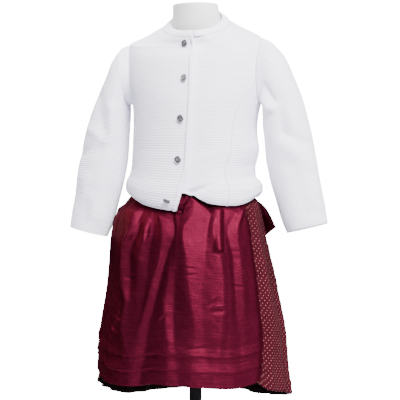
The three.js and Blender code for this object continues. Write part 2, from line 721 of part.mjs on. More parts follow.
/** How far the skirt's gathers stand out at a place. */
function skirtFoldDepth(angle, height) {
  const down = THREE.MathUtils.clamp((SKIRT_TOP - height) / (SKIRT_TOP - 330), 0, 1.1);
  const spread = smooth(0.02, 0.5, down);
  return skirtFolds.reduce((sum, fold) => {
    const line = mix(fold.waist, fold.hem, down);
    const depth = mix(fold.waistDepth, fold.hemDepth, spread);
    return sum + depth * ridge(wrapped(angle - line), fold.halfWidth);
  }, 0);
}

/** The lower edge of the cardigan above the skirt. */
function cardiganHem(angle) {
  const turned = wrapped(angle);
  if (turned < -90) return between(HEM_BACK, "angle", "height", turned + 360);
  if (turned > 90) return between(HEM_BACK, "angle", "height", turned);
  const right = between(HEM_RIGHT_FRONT, "angle", "height", turned);
  return mix(right, between(HEM_LEFT_FRONT, "angle", "height", turned), smooth(-1, 8, turned));
}

/** Holds a layer of the skirt in under the cardigan's hem, with a margin inside the knit. */
function tuckedIn(point, angle, margin) {
  const turned = wrapped(angle);
  const hem = cardiganHem(turned);
  if (point.z > HEM_FROM || point.z < hem - 60) return point;
  const level = levelNear(hem, Math.max(hem, point.z));
  const knit = ringPoint(ringAt(CARDIGAN_RINGS, "level", level), turned, 0);
  const spring = mix(2, 1.1, smooth(95, 130, Math.abs(turned)));
  const release = spring * Math.max(0, hem - 1 - point.z);
  const corner = CORNER_FOLD.depth * smooth(3, 9, turned) * (1 - smooth(24, 34, turned));
  const most = Math.hypot(knit.x, knit.y) - KNIT - margin - corner + release;
  const reach = Math.hypot(point.x, point.y);
  if (reach > most) {
    point.x *= most / reach;
    point.y *= most / reach;
  }
  return point;
}

/** Heights of a layer from its top down, with rows at the cardigan's hem and just below it. */
function rowsBelow(top, angle) {
  const hem = Math.min(cardiganHem(angle), top - 4);
  return [top, hem + 1, hem - 5, hem - 13, hem - 26];
}

const UNDER_KNIT = { skirt: 7.6, apron: 2.2, tie: 2.6 };

function skirtPoint(angle, height) {
  const ring = ringAt(SKIRT_RINGS, "height", height);
  const point = ringPoint(widened(ring, skirtFoldDepth(angle, height)), angle, height);
  return tuckedIn(point, angle, UNDER_KNIT.skirt);
}

function makeSkirt() {
  const shares = [0.15, 0.38, 0.62, 0.84, 1];
  const heights = (angle) => {
    const upper = rowsBelow(SKIRT_TOP, angle);
    const from = upper[upper.length - 1];
    return [...upper, ...shares.map((share) => mix(from, skirtHem(angle), share))];
  };
  const panel = (from, to, columns) => {
    const grid = (depth) =>
      heights(0).map((_, row) =>
        steps(from, to, columns).map((angle) => {
          const height = heights(angle)[row];
          return depth ? moved(skirtPoint, angle, height, -depth) : skirtPoint(angle, height);
        }),
      );
    return wall(grid(0), grid(COTTON));
  };
  add("skirt_front", panel(-90 + HALF_SEAM, 90 - HALF_SEAM, 34), material.skirtCotton);
  add("skirt_back", panel(90 + HALF_SEAM, 270 - HALF_SEAM, 48), material.skirtCotton);
}

// ---------------------------------------------------------------- apron
// One row for each fold, right to left: its angle and depth at the waist, half-way down and at the hem.
const APRON_FOLDS = [
  { waist: -52, middle: -78, hem: -80, waistDepth: 3, middleDepth: 3, hemDepth: 3, halfWidth: 8 },
  { waist: -45, middle: -58, hem: -62, waistDepth: 4, middleDepth: 4, hemDepth: 3, halfWidth: 8 },
  { waist: -37, middle: -46, hem: -46, waistDepth: 4, middleDepth: 3, hemDepth: 4, halfWidth: 6 },
  { waist: -29, middle: -36, hem: -35, waistDepth: 6, middleDepth: 7, hemDepth: 2, halfWidth: 7 },
  { waist: -20, middle: -25, hem: -30, waistDepth: 6, middleDepth: 5, hemDepth: 1, halfWidth: 6 },
  { waist: -12, middle: -19, hem: -25, waistDepth: 5, middleDepth: 1, hemDepth: 0, halfWidth: 5 },
  { waist: -3, middle: -14, hem: -25, waistDepth: 8, middleDepth: 12, hemDepth: 11, halfWidth: 7.5 },
  { waist: -7, middle: -5, hem: -1.5, waistDepth: 0, middleDepth: 7, hemDepth: 9, halfWidth: 6 },
  { waist: 6, middle: 13, hem: 17, waistDepth: 7, middleDepth: 10, hemDepth: 4, halfWidth: 10 },
  { waist: 14, middle: 10, hem: 8, waistDepth: 5, middleDepth: 1, hemDepth: 2, halfWidth: 5 },
  { waist: 23, middle: 18, hem: 20, waistDepth: 6, middleDepth: 2, hemDepth: 2, halfWidth: 6 },
  { waist: 46, middle: 39, hem: 42, waistDepth: 6, middleDepth: 8, hemDepth: 5, halfWidth: 7 },
  { waist: 55, middle: 51, hem: 48, waistDepth: 4, middleDepth: 6, hemDepth: 3, halfWidth: 5.5 },
];
// The apron's own edges and its hem.
const APRON_EDGES = [
  { height: 350, right: -86, left: 52.5 },
  { height: 422, right: -86, left: 54 },
  { height: 502, right: -82, left: 57 },
  { height: 567, right: -79, left: 60 },
  { height: 607, right: -78, left: 61 },
  { height: 653, right: -77, left: 61 },
  { height: APRON_TOP, right: -75, left: 60 },
];
const APRON_HEM = [
  { angle: -86, height: 376 },
  { angle: -72, height: 369 },
  { angle: -58, height: 358 },
  { angle: -45, height: 351 },
  { angle: -25, height: 350 },
  { angle: -12, height: 356 },
  { angle: -2, height: 354 },
  { angle: 16, height: 351 },
  { angle: 34, height: 348 },
  { angle: 46, height: 353 },
  { angle: 60, height: 362 },
];
// A gather that bags out below the waistband and ends in a lip.
const POUCH = { waist: 36, lip: 31, lipHeight: 597, lipDrop: 9, depth: 9, waistDepth: 6, halfWidth: 4.6 };

const apronHem = (angle) => between(APRON_HEM, "angle", "height", angle);
const APRON_MIDDLE = 520;
const APRON_LOWEST = 350;

/** How far the apron stands out from its lowest lie: its folds, its pouch and its tucks. */
function apronFoldDepth(angle, height) {
  const hem = apronHem(angle);
  const alongFold = (atHem, atMiddle, atWaist) =>
    between(
      [
        { height: APRON_LOWEST, value: atHem },
        { height: APRON_MIDDLE, value: atMiddle },
        { height: APRON_TOP, value: atWaist },
      ],
      "height",
      "value",
      height,
    );
  let depth = APRON_FOLDS.reduce((sum, fold) => {
    const line = alongFold(fold.hem, fold.middle, fold.waist);
    const lift = alongFold(fold.hemDepth, fold.middleDepth, fold.waistDepth);
    return sum + lift * ridge(angle - line, fold.halfWidth);
  }, 0);
  const down = (APRON_TOP - height) / (APRON_TOP - POUCH.lipHeight);
  const bag = mix(POUCH.waistDepth, POUCH.depth, THREE.MathUtils.clamp(down, 0, 1));
  const lip = smooth(POUCH.lipHeight - POUCH.lipDrop, POUCH.lipHeight, height);
  depth += bag * lip * ridge(angle - mix(POUCH.waist, POUCH.lip, down), POUCH.halfWidth);
  for (const above of TUCK.heights) {
    const up = height - hem - above;
    if (up > -1 && up < TUCK.width) depth += TUCK.lift * (up < 0 ? up + 1 : 1 - up / TUCK.width);
  }
  return depth;
}

function apronPoint(angle, height) {
  const ring = ringAt(SKIRT_RINGS, "height", height);
  const out = APRON_LIFT + skirtFoldDepth(angle, height) + apronFoldDepth(angle, height);
  return tuckedIn(ringPoint(widened(ring, out), angle, height), angle, UNDER_KNIT.apron);
}

function makeApron() {
  const shares = [0.1, 0.22, 0.34, 0.48, 0.62, 0.76, 0.9];
  const tuckRows = TUCK.heights.flatMap((above) => [above + TUCK.width, above, above - 1]);
  const heights = (angle) => {
    const upper = rowsBelow(APRON_TOP, angle);
    const hem = apronHem(angle);
    const main = shares.map((share) => mix(upper[upper.length - 1], hem + 58, share));
    return [...upper, ...main, ...tuckRows.map((above) => hem + above), hem];
  };
  const grid = (depth) =>
    heights(0).map((_, row) =>
      steps(0, 1, 40).map((share) => {
        const rough = heights(mix(-70, 57, share))[row];
        const from = between(APRON_EDGES, "height", "right", rough);
        const to = between(APRON_EDGES, "height", "left", rough);
        const angle = mix(from, to, share);
        const height = heights(angle)[row];
        return depth ? moved(apronPoint, angle, height, -depth) : apronPoint(angle, height);
      }),
    );
  add("apron_panel", wall(grid(0), grid(COTTON)), material.apronTaffeta);
}

// ---------------------------------------------------------------- waistband, ties and bow
const BAND_LIFT = 3.2; // waistband and ties off the gathers below them
const KNOT = { x: 0, y: 111.5, z: 664, wide: 11, deep: 8.5, tall: 12, tieRise: 3.3 };

/** A point of the waist under the cardigan, outside the skirt's gathers. */
function waistPoint(angle, height, lift) {
  const rise = KNOT.tieRise * smooth(158, 175, Math.abs(angle));
  const ring = widened(ringAt(SKIRT_RINGS, "height", height), BAND_LIFT + lift + rise);
  return tuckedIn(ringPoint(ring, angle, height), angle, UNDER_KNIT.tie + COTTON - lift);
}

function bandGrid(from, to, columns, middleAt, lift, halfWidth) {
  return [-1, 0, 1].map((share) =>
    steps(from, to, columns).map((angle) =>
      waistPoint(angle, middleAt(angle) + share * halfWidth, lift),
    ),
  );
}

function makeWaistbandAndTies() {
  const { bottom, top, rightEnd, leftEnd } = WAISTBAND;
  const middle = (bottom + top) / 2;
  const half = (top - bottom) / 2;
  const band = (from, to, columns, middleAt) =>
    wall(
      bandGrid(from, to, columns, middleAt, COTTON, half),
      bandGrid(from, to, columns, middleAt, 0, half),
    );
  add("apron_waistband", band(rightEnd, leftEnd, 23, () => middle), material.apronTaffeta);

  const tieMiddle = (angle) => mix(middle, KNOT.z + 3, smooth(122, 174, Math.abs(angle)));
  add("apron_tie_left", band(leftEnd + 0.3, 176.1, 20, tieMiddle), material.apronTaffeta);
  add("apron_tie_right", band(-176.8, rightEnd - 0.3, 17, tieMiddle), material.apronTaffeta);
}

// The centre line of the left loop of the bow; the right loop mirrors it.
const LOOP_LINE = [
  { x: 11.7, y: 115.6, z: 664 },
  { x: 46, y: 122, z: 673 },
  { x: 88, y: 114, z: 656 },
  { x: 116, y: 101, z: 616 },
].map(({ x, y, z }) => new THREE.Vector3(x, y, z));
const LOOP = { kneeWidth: 13, tipWidth: 21, gape: 7, leafSteps: 8 };

/** A loop of the bow: a ribbon that runs out along its line, turns at the tip and comes back. */
function makeLoop(name, side) {
  const line = new THREE.CatmullRomCurve3(LOOP_LINE);
  const shares = [...steps(0, 1, LOOP.leafSteps), ...steps(1, 0, LOOP.leafSteps)];
  const leaf = shares.map((_, i) => (i <= LOOP.leafSteps ? -1 : 1));
  const away = new THREE.Vector3(0.25, 1, 0).normalize();
  const grid = (inset) =>
    [-1, 0, 1].map((across) =>
      shares.map((share, i) => {
        const tangent = line.getTangent(share);
        const widthways = away.clone().cross(tangent).normalize();
        const half = mix(LOOP.kneeWidth, LOOP.tipWidth, smooth(0, 0.7, share));
        const gape = 2.6 + LOOP.gape * Math.sin(Math.PI * Math.min(1, share * 0.93) ** 0.8);
        const point = line
          .getPoint(share)
          .addScaledVector(widthways, across * half)
          .addScaledVector(away, leaf[i] * (gape - inset))
          .addScaledVector(tangent, share === 1 ? -inset : 0);
        point.x *= side;
        return point;
      }),
    );
  add(name, wall(grid(0), grid(COTTON)), material.apronTaffeta);
}

const TAIL = { halfWidth: 20, knotHalfWidth: 8, top: 653.5, length: 179.5, lift: 4.6 };

/** A free end of the tie, hanging over the gathers of the skirt's back. */
function makeTail(name, side) {
  const centre = (height) => 180 - side * mix(6.2, 19, (TAIL.top - height) / TAIL.length);
  const grid = (lift) =>
    steps(0, 1, 8).map((share) =>
      steps(-1, 1, 4).map((across) => {
        const slant = share === 1 ? 9 * across * side : 0;
        const height = TAIL.top - TAIL.length * share - slant;
        const half = mix(TAIL.knotHalfWidth, TAIL.halfWidth, smooth(0, 0.4, share));
        const ring = ringAt(SKIRT_RINGS, "height", height);
        const turn = (across * half) / ring.back / DEGREE;
        const curl = 2.5 * across * across * share;
        const out = 13 * smooth(0, 0.4, share) + TAIL.lift + lift + curl;
        return ringPoint({ ...ring, back: ring.back + out }, centre(height) - turn, height);
      }),
    );
  add(name, wall(grid(COTTON), grid(0)), material.apronTaffeta);
}

function makeBow() {
  const knot = new THREE.SphereGeometry(1, 12, 8);
  knot.scale(KNOT.wide, KNOT.deep, KNOT.tall).translate(KNOT.x, KNOT.y, KNOT.z);
  add("bow_knot", knot, material.apronTaffeta);
  makeLoop("bow_loop_left", 1);
  makeLoop("bow_loop_right", -1);
  makeTail("bow_tail_left", 1);
  makeTail("bow_tail_right", -1);
}

makeForm();
makeBodice();
makeSkirt();
makeApron();
makeWaistbandAndTies();
makeBow();
makeCardiganBody();
makeNeckband();
makeSleeve("cardigan_sleeve_right", -1, SLEEVE_RIGHT);
makeSleeve("cardigan_sleeve_left", 1, SLEEVE_LEFT);
makeButtons();

export default part;
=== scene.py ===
import math

import bpy
import numpy as np
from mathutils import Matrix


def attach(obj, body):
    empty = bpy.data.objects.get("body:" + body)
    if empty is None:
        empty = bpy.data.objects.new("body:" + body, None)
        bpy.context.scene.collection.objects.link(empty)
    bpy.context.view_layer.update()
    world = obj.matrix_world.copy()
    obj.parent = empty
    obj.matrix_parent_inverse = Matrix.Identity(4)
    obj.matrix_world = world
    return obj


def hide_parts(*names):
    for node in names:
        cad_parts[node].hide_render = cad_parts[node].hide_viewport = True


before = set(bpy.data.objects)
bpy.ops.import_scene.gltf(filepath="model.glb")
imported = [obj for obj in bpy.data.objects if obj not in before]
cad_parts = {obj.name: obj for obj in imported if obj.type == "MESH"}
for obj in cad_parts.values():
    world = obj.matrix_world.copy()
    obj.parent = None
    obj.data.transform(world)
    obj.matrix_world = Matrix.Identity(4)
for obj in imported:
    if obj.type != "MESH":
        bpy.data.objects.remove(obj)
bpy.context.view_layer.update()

# ---------------------------------------------------------------- camera
# It stands level with the waist, 3 m off, a little to the wearer's left of straight ahead.
# The origin is under the stand's base, the front faces -Y and the wearer's left is +X.
CAMERA_TURN = math.radians(13)
CAMERA_AWAY, CAMERA_ASIDE, CAMERA_HEIGHT = 3, 0.0083, 0.68
camera = bpy.data.objects.new("camera", bpy.data.cameras.new("camera"))
bpy.context.scene.collection.objects.link(camera)
camera.location = (
    CAMERA_AWAY * math.sin(CAMERA_TURN) + CAMERA_ASIDE * math.cos(CAMERA_TURN),
    -CAMERA_AWAY * math.cos(CAMERA_TURN) + CAMERA_ASIDE * math.sin(CAMERA_TURN),
    CAMERA_HEIGHT,
)
camera.rotation_euler = (math.pi / 2, 0, CAMERA_TURN)
camera.data.lens = 146
bpy.context.scene.camera = camera

# ---------------------------------------------------------------- studio
# A pale floor, a soft lamp ahead on the wearer's left, two weaker ones on the right and behind, and a
# white room that is brighter on the wearer's left.
AIM_HEIGHT = 0.7


def lamp(name, azimuth, elevation, distance, size, power, color):
    """A square lamp that points at the middle of the dress."""
    made = bpy.data.objects.new(name, bpy.data.lights.new(name, "AREA"))
    bpy.context.scene.collection.objects.link(made)
    a, e = math.radians(azimuth), math.radians(elevation)
    made.location = (
        distance * math.sin(a) * math.cos(e),
        -distance * math.cos(a) * math.cos(e),
        AIM_HEIGHT + distance * math.sin(e),
    )
    made.rotation_euler = (math.pi / 2 - e, 0, a)
    made.data.size = size
    made.data.energy = power
    made.data.color = color


lamp("key_lamp", 34, 47, 2.6, 1.1, 290, (1, 0.99, 0.985))
lamp("side_lamp", -112, 38, 2.6, 1.2, 120, (0.94, 0.94, 1))
lamp("back_lamp", 195, 35, 2.8, 1.6, 90, (0.97, 0.97, 1))

world = bpy.data.worlds.new("room")
bpy.context.scene.world = world
world.use_nodes = True
sky = world.node_tree
seen = sky.nodes.new("ShaderNodeBackground")
seen.inputs["Color"].default_value = (1, 1, 1, 1)
seen.inputs["Strength"].default_value = 20
glow = sky.nodes["Background"]
glow.inputs["Color"].default_value = (0.86, 0.85, 1, 1)
direction = sky.nodes.new("ShaderNodeTexCoord")
towards = sky.nodes.new("ShaderNodeVectorMath")
towards.operation = "DOT_PRODUCT"
towards.inputs[1].default_value = (0.70, -0.52, 0.48)
sky.links.new(direction.outputs["Generated"], towards.inputs[0])
fall = sky.nodes.new("ShaderNodeMapRange")
fall.interpolation_type = "SMOOTHSTEP"
fall.inputs["From Min"].default_value = -0.3
fall.inputs["From Max"].default_value = 0.8
fall.inputs["To Min"].default_value = 0.14
fall.inputs["To Max"].default_value = 1.72
sky.links.new(towards.outputs["Value"], fall.inputs["Value"])
sky.links.new(fall.outputs["Result"], glow.inputs["Strength"])
ray = sky.nodes.new("ShaderNodeLightPath")
either = sky.nodes.new("ShaderNodeMixShader")
sky.links.new(ray.outputs["Is Camera Ray"], either.inputs[0])
sky.links.new(glow.outputs[0], either.inputs[1])
sky.links.new(seen.outputs[0], either.inputs[2])
sky.links.new(either.outputs[0], sky.nodes["World Output"].inputs["Surface"])

bpy.ops.mesh.primitive_circle_add(vertices=96, radius=1.1, fill_type="NGON", location=(0, 0, -0.0005))
floor = bpy.context.object
floor.name = "floor"
floor_paint = bpy.data.materials.new("floor_paint")
floor_paint.use_nodes = True
paint = floor_paint.node_tree.nodes["Principled BSDF"].inputs
paint["Base Color"].default_value = (0.84, 0.84, 0.85, 1)
paint["Roughness"].default_value = 0.8
floor.data.materials.append(floor_paint)

# ---------------------------------------------------------------- dress form
# A limbless child's torso of padded card, covered in off-white jersey. Only its neck shows, above the
# neckband. The rest fills the clothes.


def table(columns, *rows):
    """A table as one array for each named column. It is read by its first column."""
    return dict(zip(columns.split(), np.array(rows, float).T))


def curve(rows, column, at):
    """A column's value at places between the rows, on a curve that never overshoots them."""
    keys, values = next(iter(rows.values())), rows[column]
    at = np.clip(at, keys[0], keys[-1])
    low = np.clip(np.searchsorted(keys, at, side="right") - 1, 0, len(keys) - 2)
    slope = np.diff(values) / np.diff(keys)
    before, after = slope[:-1], slope[1:]
    both = before * after
    inner = np.where(both > 0, 2 * both / np.where(both > 0, before + after, 1), 0)
    tangent = np.concatenate([slope[:1], inner, slope[-1:]])
    step = keys[low + 1] - keys[low]
    t = (at - keys[low]) / step
    return (
        (2 * t**3 - 3 * t**2 + 1) * values[low]
        + (t**3 - 2 * t**2 + t) * step * tangent[low]
        + (3 * t**2 - 2 * t**3) * values[low + 1]
        + (t**3 - t**2) * step * tangent[low + 1]
    )


def ring_point(rows, angle, height, wider=0.0):
    """Points on oval rings. The angle runs in degrees from the front towards the wearer's left."""
    side, ahead = np.sin(np.radians(angle)), np.cos(np.radians(angle))
    across = np.where(side > 0, curve(rows, "left", height), curve(rows, "right", height)) + wider
    depth = np.where(ahead > 0, curve(rows, "front", height), curve(rows, "back", height)) + wider
    middle = curve(rows, "mid", height)
    return np.stack(np.broadcast_arrays(side * across, middle - ahead * depth, height), -1).astype(float)


def smooth(start, end, at):
    """0 up to the start and 1 from the end on, with an even rise between them."""
    t = np.clip((at - start) / (end - start), 0, 1)
    return t * t * (3 - 2 * t)


def mix(a, b, share):
    """A value a share of the way from one to another."""
    return a + (b - a) * share


def piece(name, points, faces, spread, material, sharp=0):
    """Makes a mesh from millimetres. spread is the cloth's own measure at each corner of each face, and
    the last `sharp` faces keep hard edges."""
    mesh = bpy.data.meshes.new(name)
    counts = np.concatenate([np.full(len(block), block.shape[1]) for block in faces])
    corners = np.concatenate([block.ravel() for block in faces])
    mesh.vertices.add(len(points))
    mesh.vertices.foreach_set("co", (points * 0.001).astype(np.float32).ravel())
    mesh.loops.add(len(corners))
    mesh.loops.foreach_set("vertex_index", corners.astype(np.int32))
    mesh.polygons.add(len(counts))
    mesh.polygons.foreach_set("loop_start", np.concatenate([[0], np.cumsum(counts)[:-1]]).astype(np.int32))
    is_smooth = np.ones(len(counts), bool)
    if sharp:
        is_smooth[-sharp:] = False
    mesh.polygons.foreach_set("use_smooth", is_smooth)
    layer = mesh.uv_layers.new(name="cloth")
    layer.data.foreach_set("uv", (spread * 0.001).astype(np.float32).ravel())
    mesh.update(calc_edges=True)
    mesh.validate()
    mesh.materials.append(material)
    made = bpy.data.objects.new(name, mesh)
    bpy.context.scene.collection.objects.link(made)
    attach(made, "root")
    return made


def quads(a, b, c, d):
    """Four-cornered faces from the numbers of their corners."""
    return np.stack([a, b, c, d], -1).reshape(-1, 4)


def measured(points, ring=False):
    """The cloth's own measure on a grid, in millimetres: across from its first column and up from its
    lowest row."""
    if ring:
        points = np.concatenate([points, points[:, :1]], 1)
    across = np.linalg.norm(np.diff(points, axis=1), axis=-1)
    up = np.linalg.norm(np.diff(points, axis=0), axis=-1)
    u = np.concatenate([np.zeros((len(points), 1)), np.cumsum(across, 1)], 1)
    v = np.concatenate([np.zeros((1, points.shape[1])), np.cumsum(up, 0)], 0)
    return np.stack([u, v], -1)


def node(tree, kind, settings=None, **sockets):
    """Adds a shader node. A socket is given a number, a colour, or another node's output."""
    made = tree.nodes.new("ShaderNode" + kind)
    for name, value in (settings or {}).items():
        setattr(made, name, value)
    for name, value in sockets.items():
        key = int(name[1:]) if name[1:].isdigit() else name.replace("_", " ")
        if isinstance(value, bpy.types.NodeSocket):
            tree.links.new(value, made.inputs[key])
        else:
            made.inputs[key].default_value = value
    return made


def ranged(tree, value, low, high):
    """A value from 0 to 1 spread over a range of its own."""
    return node(tree, "MapRange", Value=value, To_Min=low, To_Max=high).outputs[0]


def maths(tree, operation, *values):
    """One step of sums on values of a material."""
    sockets = {f"n{i}": value for i, value in enumerate(values)}
    return node(tree, "Math", {"operation": operation}, **sockets).outputs[0]


def blend(tree, share, first, second):
    """A colour between two others."""
    made = node(tree, "Mix", {"data_type": "RGBA"}, n0=share, n6=first, n7=second)
    return made.outputs[2]


def surface(name, **sockets):
    """A material with one Principled shader. What is the same all over is set on its own sockets."""
    made = bpy.data.materials.new(name)
    made.use_nodes = True
    shader = made.node_tree.nodes["Principled BSDF"]
    for socket, value in sockets.items():
        shader.inputs[socket.replace("_", " ")].default_value = value
    return made, made.node_tree, shader


def group(name, inputs, outputs):
    """An empty group of nodes with its sockets. The two calls that come back read and set them."""
    made = bpy.data.node_groups.new(name, "ShaderNodeTree")
    for socket, value in inputs.items():
        kind = "NodeSocketVector" if value is None else "NodeSocketFloat"
        added = made.interface.new_socket(socket, in_out="INPUT", socket_type=kind)
        if value is not None:
            added.default_value = value
    for socket in outputs:
        made.interface.new_socket(socket, in_out="OUTPUT", socket_type="NodeSocketFloat")
    start, end = made.nodes.new("NodeGroupInput"), made.nodes.new("NodeGroupOutput")
    return made, start.outputs, lambda socket, value: made.links.new(value, end.inputs[socket])


def grouped(tree, made, **sockets):
    """A use of a group of nodes in a material."""
    return node(tree, "Group", {"node_tree": made}, **sockets).outputs


def toned(tree, size):
    """The uneven tone at every place of a piece, with patches of a size: the higher, the smaller."""
    return grouped(tree, uneven, Place=node(tree, "TexCoord").outputs["Object"], Size=size)


def cloth_measure(tree):
    """The cloth's own measure, across and up, in metres."""
    return node(tree, "UVMap", {"uv_map": "cloth"}).outputs[0]


def bumped(tree, shader, strength, distance, height):
    """Raises the finish of a surface by a height."""
    bump = node(tree, "Bump", Strength=strength, Distance=distance, Height=height)
    tree.links.new(bump.outputs[0], shader.inputs["Normal"])


def coloured(tree, shader, share, first, second):
    """Gives a surface the colours between two others."""
    tree.links.new(blend(tree, share, first, second), shader.inputs["Base Color"])


uneven, given, give = group("uneven_tone", {"Place": None, "Size": 60.0}, ["Tone", "Fine"])
broad = node(uneven, "TexNoise", Vector=given["Place"], Scale=given["Size"], Detail=3.0)
fine_size = maths(uneven, "MULTIPLY", given["Size"], 14)
fine = node(uneven, "TexNoise", Vector=given["Place"], Scale=fine_size, Detail=2.0)
give("Tone", broad.outputs[0])
give("Fine", fine.outputs[0])

weave, given, give = group("plain_weave", {"Cloth": None, "Threads": 2200.0}, ["Height", "Slub"])
split = node(weave, "SeparateXYZ", n0=given["Cloth"]).outputs
warp = maths(weave, "SINE", maths(weave, "MULTIPLY", split[0], given["Threads"]))
weft = maths(weave, "SINE", maths(weave, "MULTIPLY", split[1], given["Threads"]))
give("Height", maths(weave, "MULTIPLY", warp, weft))
along = maths(weave, "MULTIPLY", split[0], 16)
across = maths(weave, "MULTIPLY", split[1], 420)
stretched = node(weave, "CombineXYZ", X=along, Y=across)
slub = node(weave, "TexNoise", Vector=stretched.outputs[0], Scale=1.0, Detail=3.0)
give("Slub", slub.outputs[0])

FORM_RINGS = table(
    "height right left front back mid",
    (567, 84, 84, 70, 70, 0),
    (572, 98, 98, 82, 80, 0),
    (585, 106, 106, 89, 86, 0),
    (620, 107, 107, 91, 87, 0),
    (660, 104, 104, 90, 84, 0),
    (700, 102, 102, 88, 80, 0),
    (740, 102, 102, 86, 77, 0),
    (800, 104, 104, 84, 76, 1),
    (856, 106, 106, 81, 75, 3),
    (900, 105, 105, 73, 74, 7),
    (928, 103, 103, 63, 70, 10),
    (946, 99, 99, 53, 64, 12),
    (958, 90, 90, 46, 58, 11),
    (968, 76, 76, 42, 53, 10),
    (979, 59, 59, 40, 49, 8),
    (990, 48, 48, 39.5, 46, 5),
    (1002, 45.5, 47, 39.5, 45, 2),
    (1018, 42.4, 46.5, 40, 43, 0),
    (1028, 41.8, 44, 40, 42, -1),
    (1041, 41.5, 41.5, 40, 41, -2),
)


def form_point(angle, height, wider=0.0):
    """A point on the form's skin. Its shoulders lean with the cardigan's."""
    point = ring_point(FORM_RINGS, angle, height, wider)
    point[..., 2] += 0.015 * point[..., 0] * smooth(880, 975, height)
    return point


def lofted(name, rings, material):
    """A closed body through rings, with its first and last closed to a point in their middle."""
    count, around = rings.shape[:2]
    rows = np.arange(count * around).reshape(count, around)
    rows = np.concatenate([rows, rows[:, :1]], 1)
    ends = np.stack([rings[0].mean(0), rings[-1].mean(0)])
    points = np.concatenate([rings.reshape(-1, 3), ends])
    low, high = np.full(around, len(points) - 2), np.full(around, len(points) - 1)
    faces = [
        quads(rows[:-1, :-1], rows[:-1, 1:], rows[1:, 1:], rows[1:, :-1]),
        np.column_stack([low, rows[0, 1:], rows[0, :-1]]),
        np.column_stack([high, rows[-1, :-1], rows[-1, 1:]]),
    ]
    spread = measured(rings, ring=True)
    flat = np.concatenate([spread[:, :-1].reshape(-1, 2), np.zeros((2, 2))])
    corners = np.concatenate([block.ravel() for block in faces])
    return piece(name, points, faces, flat[corners], material)


jersey, tree, shader = surface("form_jersey", Roughness=0.62, Sheen_Weight=0.15, Sheen_Roughness=0.5)
tone = toned(tree, 24.0)
coloured(tree, shader, tone["Tone"], (0.60, 0.585, 0.55, 1), (0.76, 0.75, 0.72, 1))
woven = grouped(tree, weave, Cloth=cloth_measure(tree), Threads=5200.0)
bumped(tree, shader, 0.25, 0.0004, woven["Height"])

lower, sides = np.linspace(567, 585, 9)[:-1], np.linspace(585, 930, 50)[:-1]
heights = np.concatenate([lower, sides, np.linspace(930, 1041, 60)])
around = np.arange(0, 360, 3.0)
rings = form_point(around[None, :], heights[:, None])
rings[-1] = mix(rings[-1].mean(0), rings[-1], 0.985)
torso = lofted("dress_form_torso", rings, jersey)
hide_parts("form_torso")

# ---------------------------------------------------------------- stand
# A black painted steel pole under the form, in a socket welded to a round foot plate. Only a short
# length of the pole shows below the hem.


def turned(name, profile, material, around=96):
    """A round piece turned from a profile of (radius, height), both ends on the axis."""
    angles = np.radians(np.arange(0, 360, 360 / around))
    radius, height = np.array(profile, float).T
    across, ahead = radius[:, None] * np.sin(angles), radius[:, None] * np.cos(angles)
    rings = np.stack(np.broadcast_arrays(across, -ahead, height[:, None]), -1)
    return lofted(name, rings, material)


steel, tree, shader = surface("black_painted_steel", Specular_IOR_Level=0.06)
tone = toned(tree, 30.0)
coloured(tree, shader, tone["Tone"], (0.0012, 0.0012, 0.0014, 1), (0.0045, 0.0045, 0.005, 1))
tree.links.new(ranged(tree, tone["Fine"], 0.28, 0.5), shader.inputs["Roughness"])
bumped(tree, shader, 0.2, 0.0003, tone["Fine"])

pole = turned("stand_pole", [(11.5, z) for z in np.linspace(42.3, 566.7, 40)], steel, 48)
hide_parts("form_pole")

FOOT = dict(radius=150, thick=10, socket_radius=21, socket_top=42, bevel=2.5, fillet=5)
quarter = [(1 - math.cos(a), 1 - math.sin(a)) for a in np.linspace(0, math.pi / 2, 6)]
bevel = [(FOOT["bevel"] * x, FOOT["bevel"] * z) for x, z in quarter]
fillet = [(FOOT["fillet"] * x, FOOT["fillet"] * z) for z, x in quarter]
plate = [(r, 0) for r in np.linspace(10, FOOT["radius"] - 1, 12)]
plate += [(FOOT["radius"], 0.8), (FOOT["radius"], 4)]
plate += [(FOOT["radius"] - x, FOOT["thick"] - z) for x, z in bevel]
plate += [(r, FOOT["thick"]) for r in np.linspace(140, 27, 12)]
plate += [(FOOT["socket_radius"] + x, FOOT["thick"] + z) for x, z in fillet]
plate += [(FOOT["socket_radius"] - x, FOOT["socket_top"] - z) for x, z in bevel]
plate += [(15, FOOT["socket_top"]), (11.8, FOOT["socket_top"])]
foot = turned("stand_foot", plate, steel, 128)
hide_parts("form_base")

# ---------------------------------------------------------------- bodice
# The top of the dress under the cardigan: printed cotton, cut with a front, a back and two shoulder
# straps, sewn to the skirt at the waist. The print is small gold dots on a slanting lattice.
WOVEN = 1.5
BODICE_LIFT = 4
lattice = {"Cloth": None, "Pitch": 0.0092, "Radius": 0.0009}
dots, given, give = group("dot_lattice", lattice, ["Dot", "Between"])
split = node(dots, "SeparateXYZ", n0=given["Cloth"]).outputs
across = maths(dots, "DIVIDE", split[0], given["Pitch"])
up = maths(dots, "DIVIDE", split[1], given["Pitch"])


def nearest(shift_x, shift_y):
    """The distance to the nearest point of a square lattice, in metres."""
    a = maths(dots, "SUBTRACT", maths(dots, "FRACT", maths(dots, "ADD", across, shift_x)), 0.5)
    b = maths(dots, "SUBTRACT", maths(dots, "FRACT", maths(dots, "ADD", up, shift_y)), 0.5)
    squares = maths(dots, "ADD", maths(dots, "MULTIPLY", a, a), maths(dots, "MULTIPLY", b, b))
    return maths(dots, "MULTIPLY", maths(dots, "SQRT", squares), given["Pitch"])


def spot(distance):
    """1 inside a dot of the group's radius, with a soft edge."""
    share = maths(dots, "DIVIDE", distance, given["Radius"])
    return node(dots, "MapRange", Value=share, From_Min=1.25, From_Max=0.75).outputs[0]


